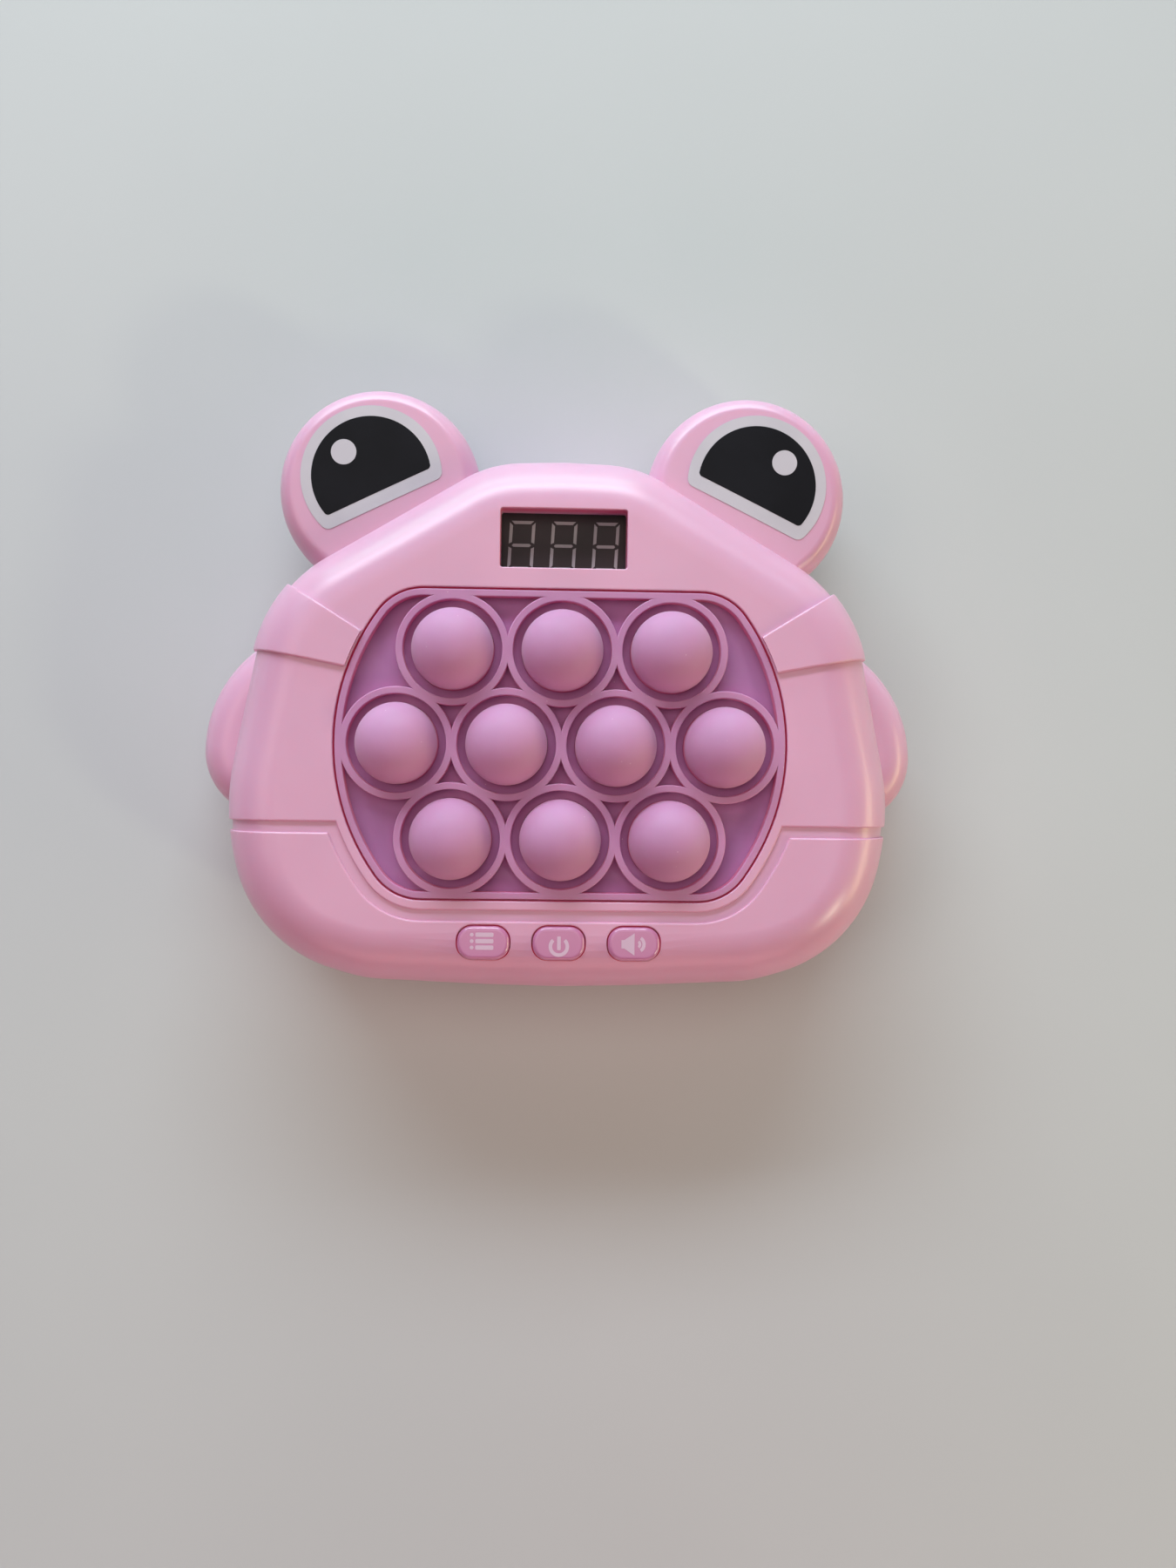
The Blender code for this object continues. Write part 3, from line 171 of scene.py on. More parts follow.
DOOR_Y = -14.2 * MM
DOOR_HALF_WIDTH = 31.05 * MM
DOOR_HALF_HEIGHT = 28.55 * MM
DOOR_CORNER = 3.0 * MM
DOOR_ROOM = 0.25 * MM
DOOR_LOW = 0.3 * MM
DOOR_TOP = 2.7 * MM
DOOR_SEAT = 3.0 * MM
BAY_WALL = 4.0 * MM
BAY_TOP = 19.8 * MM
BAY_ROOM_LOW = (-29.45 * MM, -33.0 * MM, 0)
BAY_ROOM_HIGH = (29.45 * MM, 13.0 * MM, 17.8 * MM)
TAB_SPREAD_SHARE = 0.62
TAB_HALF_WIDTH = 4.0 * MM
# Place up the face and height, at both ends of a tab
TAB_FROM = (12.35 * MM, 1.0 * MM)
TAB_TO = (16.25 * MM, 2.0 * MM)
GRILLE_SLOTS = 5
GRILLE_PITCH = 3.8 * MM
GRILLE_REACH = 10.1 * MM
GRILLE_Y = 34.35 * MM
GRILLE_SLOT_HALF = 0.9 * MM
GRILLE_SLOT_CORNER = 0.8 * MM
HOUSING_SCREW_SHARES = [(0.800, -0.513), (0.776, 0.412), (0.605, 0.955)]
BOSS_TOP = 18.8 * MM
BOSS_RADIUS = 4.5 * MM
WELL_TOP = 15.65 * MM
WELL_RADIUS = 2.8 * MM
SCREW_RADIUS = 1.25 * MM
SCREW_HEAD_RADIUS = 2.5 * MM
SCREW_HEAD = 1.9 * MM
SCREW_LENGTH = 10.0 * MM
DOOR_SCREW_Y = -37.75 * MM
DOOR_SCREW_HEAD = 1.2 * MM
DOOR_SCREW_LENGTH = 7.0 * MM
DOOR_WELL_TOP = 1.8 * MM
DOOR_HOLE_TOP = 5.0 * MM
DOOR_HOLE_RADIUS = 1.55 * MM
CELLS = 3
BOARD_SCREWS = 4

# What the scene draws finer than the part
PARTING_GAP = 0.12 * MM
LIP_ROUND = 0.3 * MM
GROOVE_DEPTH = 0.7 * MM
GROOVE_ROUND = 0.42 * MM
BAND_ROUND = 0.5 * MM
WINDOW_GAP = 0.45 * MM
BUTTON_GAP = 0.22 * MM
BUTTON_ROUND = 1.0 * MM
HINGE_GAP = 0.06 * MM
PAD_RIM = 1.45 * MM
PAD_TOP = BODY_DEPTH - 0.05 * MM
RING_ROUND = 0.22 * MM
MODULE_ROUND = 0.2 * MM
EYE_CROWN = 0.45 * MM
FILM = 0.12 * MM
FILM_LIFT = 0.02 * MM
PRINT = 0.03 * MM
PRINT_SINK = 0.05 * MM
LABEL_SHIFTS = {-1: Vector((0.0, 0.0)), 1: Vector((0.36 * MM, -0.27 * MM))}
# Radius, chord's place below the middle, and corner radius
FILM_SIZES = (15.85 * MM, 6.95 * MM, 2.0 * MM)
PUPIL_SIZES = (13.45 * MM, 4.0 * MM, 1.0 * MM)
GLINT_X = 49.6 * MM
GLINT_Y = 65.4 * MM
GLINT_RADIUS = 2.85 * MM
DIGIT_PLACES = (-9.44 * MM, -0.05 * MM, 9.4 * MM)
DIGIT_LEVEL = 44.7 * MM
DIGIT_LEAN = math.tan(math.radians(3))
SEGMENT_REACH = 2.5 * MM
SEGMENT_RISE = 5.1 * MM
SEGMENT_HALF = 0.35 * MM
SEGMENT_GAP = 0.36 * MM
SEGMENT_PROUD = 0.02 * MM
ICON_LINE = 0.39 * MM
MENU_UP = 0.45 * MM
MENU_PITCH = 1.4 * MM
MENU_DOT_OUT = 2.46 * MM
MENU_DOT = 0.42 * MM
MENU_BAR_OUT = 0.3 * MM
MENU_BAR = 1.98 * MM
MENU_THICK = 0.48 * MM
MENU_ROUND_SHARE = 0.6
POWER_OUT = 0.05 * MM
POWER_UP = 0.13 * MM
POWER_DOWN = 0.59 * MM
POWER_RING = 1.85 * MM
POWER_BAR = 1.5 * MM
POWER_OPENING = math.radians(42)
SOUND_UP = 0.04 * MM
WAVE_OUT = 0.55 * MM
WAVE_SPREAD = math.radians(56)
# Radius and half the line of each wave
WAVES = ((0.75 * MM, 0.3 * MM), (1.65 * MM, 0.36 * MM))
# Corners of the loudspeaker's horn, in millimetres
HORN_CORNERS = [(-2.76, -0.9), (-2.1, -0.95), (0.1, -2.43), (0.1, 2.43), (-2.1, 0.95),
                (-2.76, 0.9)]
DOOR_ROUND = 0.5 * MM
RIBS = 5
RIB_Y = 4.0 * MM
RIB_PITCH = 1.6 * MM
RIB_REACH = 9.0 * MM
RIB_TAPER = 1.0 * MM
RIB_HALF = 0.4 * MM
RIB_CORNER = 0.35 * MM
RIB_DEPTH = 0.7 * MM
HEAD_ROUND = 0.5 * MM
CROSS_REACH = 1.4 * MM
CROSS_HALF = 0.3 * MM
CROSS_DEPTH = 0.8 * MM

# Heights between which the walls of the openings start to take painted dark red shade and a painted
# glow, and stop
SHADE_AND_GLOW_FOOT = (34.0 * MM, 36.5 * MM)
SHADE_AND_GLOW_TOP = (37.8 * MM, 38.2 * MM)
# Drop below a button's top from which its sides take painted dark red shade and a painted glow
BUTTON_SHADE_AND_GLOW_DROP = 1.2 * MM

# Upward share of a surface's normal between which a wall passes into level ground
WALL_EDGES = (0.1, 0.5)
# Noise between which the dark shade of a clouded finish passes into the pale one
CLOUD_EDGES = (0.3, 0.7)
SPECK_CORE_SHARE = 0.7

# Table, camera, and the point that the lamps look at
TABLE_SIZE = 4.0
LAMP_TARGET = Vector((0, 0, 0.02))
CAMERA_PLACE = (-0.0026, -0.0208, 0.2968)
CAMERA_TURN = (math.radians(-0.2), math.radians(-1.9), math.radians(0.765))
CAMERA_LENS = 27.06
CAMERA_SENSOR = 36
WORLD_TINT = (1.0, 0.8, 0.6)
WORLD_STRENGTH = 0.02
# Place, width and height, power in watts, and tint of each lamp
LAMPS = {
    "window_light": ((-0.23, 1.30, 0.72), (1.6, 0.3), 19.7, (0.874, 0.946, 1.0)),
    "curtain_light": ((-0.11, 1.32, 0.72), (3.4, 0.4), 8.0, (0.572, 0.813, 1.0)),
    "sill_light": ((-0.26, 1.46, 0.23), (1.6, 0.3), 11.9, (0.497, 1.0, 0.851)),
    "ceiling_light": ((0.0, 0.30, 1.50), (1.2, 1.2), 6.5, (1.0, 0.917, 0.844)),
    "wall_light": ((-0.95, 0.17, 1.17), (1.0, 0.6), 3.5, (1.0, 0.774, 0.658)),
    "lamp_light": ((1.44, -0.25, 0.33), (1.0, 0.3), 6.8, (1.0, 0.892, 0.456)),
    "spot_light": ((1.08, -0.76, 0.72), (0.15, 0.15), 3.1, (0.974, 1.0, 0.677)),
    "room_light": ((0.0, -1.41, 0.53), (1.6, 0.5), 6.2, (1.0, 0.469, 0.531)),
}

# Plain finishes: dark shade, pale shade, roughness, and what else the shader is given
PLAIN_FINISHES = {
    "label_film": ((0.53, 0.49, 0.56), (0.57, 0.53, 0.60), 0.34, {}),
    "black_ink": ((0.007, 0.007, 0.010), (0.009, 0.009, 0.013), 0.34, {"specular_ior_level": 0.10}),
    "pale_ink": ((0.64, 0.44, 0.59), (0.68, 0.48, 0.63), 0.30, {}),
    "display_resin": ((0.026, 0.019, 0.023), (0.031, 0.022, 0.027), 0.30,
                      {"specular_ior_level": 0.2}),
    "segment": ((0.28, 0.28, 0.31), (0.32, 0.31, 0.34), 0.35, {}),
    "board_laminate": ((0.02, 0.12, 0.05), (0.03, 0.17, 0.07), 0.35, {}),
    "white_plastic": ((0.66, 0.65, 0.62), (0.72, 0.71, 0.68), 0.40, {}),
    "milky_plastic": ((0.74, 0.74, 0.72), (0.80, 0.80, 0.78), 0.30, {}),
    "plated_steel": ((0.52, 0.52, 0.53), (0.62, 0.62, 0.63), 0.26, {"metallic": 1.0}),
    "cell_sleeve": ((0.05, 0.06, 0.08), (0.07, 0.08, 0.10), 0.30, {}),
    "speaker_cone": ((0.03, 0.03, 0.032), (0.05, 0.05, 0.05), 0.60, {}),
}

pad_low, pad_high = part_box("pop_pad")
PAD_Y = (pad_low[1] + pad_high[1]) / 2


# Working with one piece at a time

def only(*pieces):
    """Select these pieces and nothing else, the first one active."""
    bpy.ops.object.select_all(action="DESELECT")
    for piece in pieces:
        piece.select_set(True)
    bpy.context.view_layer.objects.active = pieces[0]


def edit(piece):
    only(piece)
    bpy.ops.object.mode_set(mode="EDIT")


def leave():
    bpy.ops.object.mode_set(mode="OBJECT")


def pick_edges(piece, wanted):
    """Select, in edit mode, only the edges that pass a test."""
    bpy.ops.mesh.select_mode(type="EDGE")
    bpy.ops.mesh.select_all(action="DESELECT")
    bm = bmesh.from_edit_mesh(piece.data)
    for edge in bm.edges:
        if wanted(edge):
            edge.select_set(True)
    bmesh.update_edit_mesh(piece.data)


def at_height(height):
    """Test for edges that lie in one level plane."""
    return lambda edge: all(abs(vert.co.z - height) < WELD for vert in edge.verts)


def turn_outwards():
    """Turn all the faces outwards and leave edit mode."""
    bpy.ops.mesh.select_all(action="SELECT")
    bpy.ops.mesh.normals_make_consistent(inside=False)
    leave()


def started(name, add, **settings):
    """New primitive, with nothing else selected."""
    bpy.ops.object.select_all(action="DESELECT")
    add(**settings)
    bpy.context.object.name = name
    return bpy.context.object


def merged(name, shapes):
    """One piece that holds all the shapes."""
    only(*shapes)
    bpy.ops.object.join()
    shapes[0].name = name
    return shapes[0]


def round_edges(piece, wanted, radius, segments):
    edit(piece)
    pick_edges(piece, wanted)
    bpy.ops.mesh.bevel(offset_type="OFFSET", offset=radius, segments=segments, profile=0.5,
                       affect="EDGES", clamp_overlap=False)
    leave()


def modify(piece, kind, **settings):
    """Add a modifier with these settings and apply it."""
    only(piece)
    modifier = piece.modifiers.new(kind, kind)
    for name, value in settings.items():
        setattr(modifier, name, value)
    bpy.ops.object.modifier_apply(modifier=modifier.name)


def combine(piece, tool, operation):
    """Join, cut or trim a closed piece by another, which is used up."""
    modify(piece, "BOOLEAN", operation=operation, solver="MANIFOLD", object=tool)
    bpy.data.objects.remove(tool)


def join(piece, *tools):
    for tool in tools:
        combine(piece, tool, "UNION")


def cut(piece, *tools):
    for tool in tools:
        combine(piece, tool, "DIFFERENCE")


def trim(piece, tool):
    combine(piece, tool, "INTERSECT")


# Outlines

def arc(centre, radius, start, sweep, turn):
    """Points along an arc, both ends included."""
    steps = max(1, math.ceil(abs(sweep) / turn))
    angles = [start + sweep * step / steps for step in range(steps + 1)]
    return [(centre[0] + radius * math.cos(a), centre[1] + radius * math.sin(a)) for a in angles]


def circle(x, y, radius, steps):
    """Circle whose facets lie square to the axes and to the bubbles' six directions."""
    return arc((x, y), radius, math.pi / steps, math.tau, math.tau / steps)[:-1]


def rounded_outline(corners, turn):
    """Closed outline whose corners (x, y, radius) are arcs tangent to both sides."""
    places = [Vector((x, y)) for x, y, radius in corners]
    following = places[1:] + places[:1]
    sides = [(after - place).length for place, after in zip(places, following)]
    halves = [(places[i - 1] - place).angle(following[i] - place) / 2
              for i, place in enumerate(places)]
    reaches = [corner[2] / math.tan(half) for corner, half in zip(corners, halves)]
    room = [min(1.0, FILLET_ROOM_SHARE * side / (reach + after))
            for side, reach, after in zip(sides, reaches, reaches[1:] + reaches[:1])]
    points = []
    for i, corner in enumerate(places):
        reach = reaches[i] * min(room[i - 1], room[i])
        before = (places[i - 1] - corner).normalized()
        after = (following[i] - corner).normalized()
        centre = corner + (before + after).normalized() * (reach / math.cos(halves[i]))
        start = corner + before * reach - centre
        end = corner + after * reach - centre
        sweep = math.atan2(start.x * end.y - start.y * end.x, start.dot(end))
        points += arc(centre, start.length, math.atan2(start.y, start.x), sweep, turn)
    return points


def grow(points, distance):
    """Outline moved outwards by a distance, or inwards where it is negative."""
    area = sum(a[0] * b[1] - b[0] * a[1] for a, b in zip(points, points[1:] + points[:1]))
    side = distance if area > 0 else -distance
    moved = []
    for index, point in enumerate(points):
        here = Vector(point)
        before = (here - Vector(points[index - 1])).normalized()
        after = (Vector(points[(index + 1) % len(points)]) - here).normalized()
        normal = Vector((before.y + after.y, -before.x - after.x)).normalized()
        mitre = max(normal.dot(Vector((after.y, -after.x))), LEAST_MITRE_SHARE)
        moved.append(tuple(here + normal * (side / mitre)))
    return moved


def mirrored(points, side):
    return [(side * x, y) for x, y in points]


def rounded_box(x, y, half_width, half_height, corner, turn=COARSE_TURN):
    return rounded_outline([(x + half_width, y + half_height, corner),
                            (x - half_width, y + half_height, corner),
                            (x - half_width, y - half_height, corner),
                            (x + half_width, y - half_height, corner)], turn)


def bubble_places():
    """Bubble centres, row by row from the eyes down, left to right."""
    places = []
    for row, count in enumerate(ROWS):
        for column in range(count):
            places.append(((column - (count - 1) / 2) * PITCH, (1 - row) * ROW_PITCH))
    return places


def distance_inside(x, y, outline):
    """How far a place lies inside an outline, or 0 outside it."""
    nearest = math.inf
    inside = False
    here = Vector((x, y))
    for a, b in zip(outline, outline[1:] + outline[:1]):
        start = Vector(a)
        side = Vector(b) - start
        along = min(max((here - start).dot(side) / side.length_squared, 0), 1)
        nearest = min(nearest, (start + side * along - here).length)
        if (a[1] > y) != (b[1] > y) and x < a[0] + (y - a[1]) * (b[0] - a[0]) / (b[1] - a[1]):
            inside = not inside
    return nearest if inside else 0.0


def face_height(offset):
    """Function that gives the height of the rounded face, swollen by an offset."""
    outline = grow(body_outline(FINE_TURN), offset)
    radius = FRONT_ROUND + offset

    def height(x, y):
        short = max(radius - distance_inside(x, y, outline), 0)
        return BODY_DEPTH + offset - radius + math.sqrt(max(radius ** 2 - short ** 2, 0))

    return height


def closely(points, spacing):
    """Outline with more points, none of them further apart than a spacing."""
    filled = []
    for a, b in zip(points, points[1:] + points[:1]):
        start = Vector(a)
        run = Vector(b) - start
        count = max(1, math.ceil(run.length / spacing))
        filled += [tuple(start + run * step / count) for step in range(count)]
    return filled


def button_places():
    return [(step * BUTTON_PITCH, BUTTON_Y) for step in (-1, 0, 1)]


def body_outline(turn):
    upper = [(x * BODY_HALF_WIDTH, y * BODY_TOP, r * BODY_HALF_WIDTH)
             for x, y, r in BODY_UPPER_CORNER_SHARES]
    lower = [(x * BODY_HALF_WIDTH, -y * BODY_BOTTOM, r * BODY_HALF_WIDTH)
             for x, y, r in BODY_LOWER_CORNER_SHARES]
    right = upper + lower
    left = [(-x, y, r) for x, y, r in reversed(right[1:-1])]
    return rounded_outline(right + left, turn)


def arm_outline(side, turn):
    middle = BODY_TOP * ARM_CENTRE_SHARE
    root = BODY_HALF_WIDTH - ARM_ROOT
    shoulder = BODY_HALF_WIDTH - ARM_REACH
    up = {corner: middle + ARM_LENGTH * share for corner, share in ARM_UP_SHARES.items()}
    across = {corner: BODY_HALF_WIDTH + ARM_REACH * share
              for corner, share in ARM_ACROSS_SHARES.items()}
    corners = [(root, up["root"], ARM_REACH / 2),
               (shoulder, up["root"], ARM_REACH),
               (across["bend"], up["bend"], ARM_BEND_RADIUS),
               (across["tip"], up["tip"], ARM_TIP_RADIUS),
               (shoulder + ARM_REACH / 2, up["end"], ARM_REACH),
               (root, up["end"], ARM_REACH / 2)]
    return mirrored(rounded_outline(corners, turn), side)


def window_outline(offset):
    """Barrel-shaped window: a circle with its top and bottom cut flat."""
    radius = WINDOW_RADIUS + offset
    half_height = WINDOW_HALF_HEIGHT + offset
    corner = WINDOW_CORNER + offset
    up = half_height - corner
    across = math.sqrt((radius - corner) ** 2 - up ** 2)
    lean = math.atan2(up, across)
    quarter = arc((across, up), corner, math.pi / 2, lean - math.pi / 2, 2 * WINDOW_TURN)
    side = arc((0, 0), radius, lean, -2 * lean, WINDOW_TURN)[1:-1]
    right = quarter + side + [(x, -y) for x, y in reversed(quarter)]
    return right + [(-x, y) for x, y in reversed(right)]


def groove_outline(reach):
    """Groove from side to side of the face, dipping round the lower half of the window."""
    edges = []
    for width in (GROOVE_WIDTH, 0):
        inset = GROOVE_INSET + width
        down = GROOVE_DOWN + width
        turn_x = math.sqrt((WINDOW_RADIUS + inset) ** 2 - down ** 2)
        dip = [point for point in window_outline(inset) if point[1] < -down - GROOVE_TURN_ROOM]
        edges.append([(reach, -down), (turn_x, -down)] + dip + [(-turn_x, -down), (-reach, -down)])
    return edges[0] + edges[1][::-1]


def band_outline(side):
    start = WINDOW_RADIUS - OVERRUN
    run = BODY_HALF_WIDTH
    low = (start * math.cos(BAND_FROM), start * math.sin(BAND_FROM))
    high = (start * math.cos(BAND_TO), start * math.sin(BAND_TO))
    points = [low, (low[0] + run, low[1] + run * math.tan(BAND_LOW_SLOPE)),
              (high[0] + run, high[1] + run * math.tan(BAND_TOP_SLOPE)), high]
    return mirrored(points, side)


def half_round_outline(side, radius, chord, corner):
    """Disc with its lower side cut straight, leaning towards the nose, on an eye."""
    down = corner - chord
    across = math.sqrt((radius - corner) ** 2 - down ** 2)
    lean = math.atan2(down, across)
    points = arc((0, 0), radius, lean, math.pi - 2 * lean, FINE_TURN)
    points += arc((-across, down), corner, math.pi - lean, lean + math.pi / 2, COARSE_TURN)[1:]
    points += arc((across, down), corner, -math.pi / 2, lean + math.pi / 2, COARSE_TURN)[:-1]
    turn = Matrix.Rotation(-LABEL_TILT, 2)
    middle = Vector((LABEL_X, LABEL_Y))
    placed = [tuple(turn @ Vector(point) + middle) for point in points]
    return shifted(mirrored(placed, side), LABEL_SHIFTS[side])


def shifted(points, move):
    return [tuple(Vector(point) + move) for point in points]


# Solids

def level(outline, height):
    """Outline in space at one height, or at the height that a function gives each point."""
    rise = height if callable(height) else lambda x, y: height
    return [Vector((x, y, rise(x, y))) for x, y in outline]


def lofted(name, layers):
    """Solid pulled up from layer to layer, which all have as many points."""
    piece = started(name, bpy.ops.mesh.primitive_circle_add, vertices=len(layers[0]),
                    fill_type="NGON")
    for vert, point in zip(piece.data.vertices, layers[0]):
        vert.co = point
    edit(piece)
    bpy.ops.mesh.select_all(action="SELECT")
    for before, after in zip(layers, layers[1:]):
        move = after[0] - before[0]
        bpy.ops.mesh.extrude_region_move(TRANSFORM_OT_translate={"value": move})
        bm = bmesh.from_edit_mesh(piece.data)
        for vert in bm.verts:
            if vert.select:
                index = min(range(len(before)), key=lambda i: (before[i] + move - vert.co).length)
                vert.co = after[index]
        bmesh.update_edit_mesh(piece.data)
    turn_outwards()
    return piece


def block(name, outline, low, high):
    return lofted(name, [level(outline, low), level(outline, high)])


def flared(name, outline, low, high, radius=LIP_ROUND, over=OVERRUN):
    """Upright tool that rounds outwards near its top, or inwards by a radius below zero.

    The top lies at one height or, given a function of the place, follows a face.
    """
    top = high if callable(high) else lambda x, y: high
    size = abs(radius)

    def below(depth):
        return lambda x, y: top(x, y) - depth

    layers = [level(outline, low), level(outline, below(size))]
    for step in range(1, LIP_STEPS + 1):
        angle = math.pi / 2 * step / LIP_STEPS
        layers.append(level(grow(outline, radius * (1 - math.cos(angle))),
                            below(size * (1 - math.sin(angle)))))
    layers.append([point + Vector((0, 0, over)) for point in layers[-1]])
    return lofted(name, layers)


def pillow(name, outline, low, high, low_round, high_round, segments):
    piece = block(name, outline, low, high)
    round_edges(piece, at_height(high), high_round, segments)
    round_edges(piece, at_height(low), low_round, segments)
    return piece


def rod(name, x, y, low, high, radius, steps=ROUND_STEPS):
    piece = started(name, bpy.ops.mesh.primitive_cylinder_add, vertices=steps, radius=radius,
                    depth=high - low, location=(x, y, (high + low) / 2))
    bpy.ops.object.transform_apply(location=True)
    return piece


def box(name, low, high):
    piece = started(name, bpy.ops.mesh.primitive_cube_add, size=1,
                    location=(Vector(low) + Vector(high)) / 2, scale=Vector(high) - Vector(low))
    bpy.ops.object.transform_apply(location=True, scale=True)
    return piece


def spun(name, profile, x, y, steps):
    """Solid turned from a half section whose two ends lie on the axis."""
    piece = started(name, bpy.ops.mesh.primitive_circle_add, vertices=len(profile),
                    fill_type="NOTHING")
    for vert, (across, height) in zip(piece.data.vertices, profile):
        vert.co = (x + across, y, height)
    last = len(profile) - 1
    edit(piece)
    pick_edges(piece, lambda edge: {vert.index for vert in edge.verts} == {0, last})
    bpy.ops.mesh.delete(type="EDGE")
    bpy.ops.mesh.select_all(action="SELECT")
    bpy.ops.mesh.spin(steps=steps, angle=math.tau, center=(x, y, 0), axis=(0, 0, 1))
    bpy.ops.mesh.select_all(action="SELECT")
    bpy.ops.mesh.remove_doubles(threshold=WELD)
    turn_outwards()
    return piece


def copies(first, places, height=0.0):
    """Copies of a piece, each with its own mesh and in its own place. The first is used up."""
    made = []
    for x, y in places:
        piece = first.copy()
        piece.data = first.data.copy()
        bpy.context.collection.objects.link(piece)
        only(piece)
        piece.location = (x, y, height)
        bpy.ops.object.transform_apply(location=True)
        made.append(piece)
    bpy.data.objects.remove(first)
    return made


def slab(name, low, high):
    reach = 2 * BODY_HALF_WIDTH
    return box(name, (-reach, -reach, low), (reach, reach, high))


def crown(across):
    """Height of an eye's slightly domed face at a distance from its middle."""
    flat = EYE_RADIUS - EYE_RIM
    return EYE_FRONT_Z + EYE_CROWN * (1 - (across / flat) ** 2)


def eye_profile(offset, segments):
    """Half section of an eye bulb: near-flat faces with an elliptic rim."""
    flat = EYE_RADIUS - EYE_RIM
    rim = EYE_RIM + offset
    depth = EYE_RIM_DEPTH + offset
    back = EYE_BACK_Z - offset
    steps = [flat * step / EYE_FACE_STEPS for step in range(EYE_FACE_STEPS)]
    face = [(across, crown(across) + offset) for across in steps]
    quarter = arc((0, 0), 1, math.pi / 2, -math.pi / 2, math.pi / 2 / segments)
    upper = [(flat + x * rim, EYE_FRONT_Z + offset - depth + y * depth) for x, y in quarter]
    lower = [(flat + x * rim, back + depth - y * depth) for x, y in reversed(quarter)]
    return face + upper + lower + [(0, back)]


def body_form(name, offset, turn, segments):
    return pillow(name, grow(body_outline(turn), offset), -offset, BODY_DEPTH + offset,
                  BACK_ROUND + offset, FRONT_ROUND + offset, segments)


def toy_form(name, offset, turn=FINE_TURN, segments=FINE_SEGMENTS, eye_steps=EYE_STEPS):
    """Body, eyes and arms in one, swollen or shrunk by an offset."""
    form = body_form(name, offset, turn, segments)
    for side in (-1, 1):
        join(form, spun("eye", eye_profile(offset, segments), side * EYE_X, EYE_Y, eye_steps))
        join(form, pillow("arm", grow(arm_outline(side, turn), offset),
                          ARM_Z - ARM_HALF_THICK - offset, ARM_Z + ARM_HALF_THICK + offset,
                          ARM_ROUND + offset, ARM_ROUND + offset, segments))
    return form


def hollow_form(name, offset):
    return toy_form(name, offset, COARSE_TURN, COARSE_SEGMENTS, EYE_HOLLOW_STEPS)


def finished(piece, material, body, slot, *nodes):
    """Shade a piece, set it in place on its body and let it stand for the part's nodes."""
    only(piece)
    piece.location = (0, PAD_Y, 0)
    bpy.ops.object.transform_apply(location=True)
    bpy.ops.object.shade_smooth_by_angle(angle=SHARP_ANGLE)
    modify(piece, "WEIGHTED_NORMAL", keep_sharp=True)
    piece.data.materials.clear()
    piece.data.materials.append(material)
    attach(piece, body)
    if nodes:
        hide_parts(*nodes)


# Materials

class Wire:
    """A socket of a material's nodes that takes part in sums."""

    def __init__(self, finish, socket):
        self.finish = finish
        self.socket = socket

    def math(self, operation, first, second):
        return self.finish.node("Math", {"operation": operation}, {0: first, 1: second})

    def __add__(self, other):
        return self.math("ADD", self, other)

    def __radd__(self, other):
        return self.math("ADD", other, self)

    def __sub__(self, other):
        return self.math("SUBTRACT", self, other)

    def __rsub__(self, other):
        return self.math("SUBTRACT", other, self)

    def __mul__(self, other):
        return self.math("MULTIPLY", self, other)

    def __rmul__(self, other):
        return self.math("MULTIPLY", other, self)

    def __lt__(self, other):
        return self.math("LESS_THAN", self, other)

    def __gt__(self, other):
        return self.math("GREATER_THAN", self, other)

    def between(self, low, high):
        """Smooth step from 0 at low to 1 at high."""
        return self.finish.node("MapRange", {"interpolation_type": "SMOOTHSTEP"},
                                {0: self, 1: low, 2: high, 3: 0.0, 4: 1.0})


def socket_label(name):
    """Label of the shader's socket that a keyword such as coat_weight means."""
    return name.replace("_", " ").title().replace("Ior", "IOR")


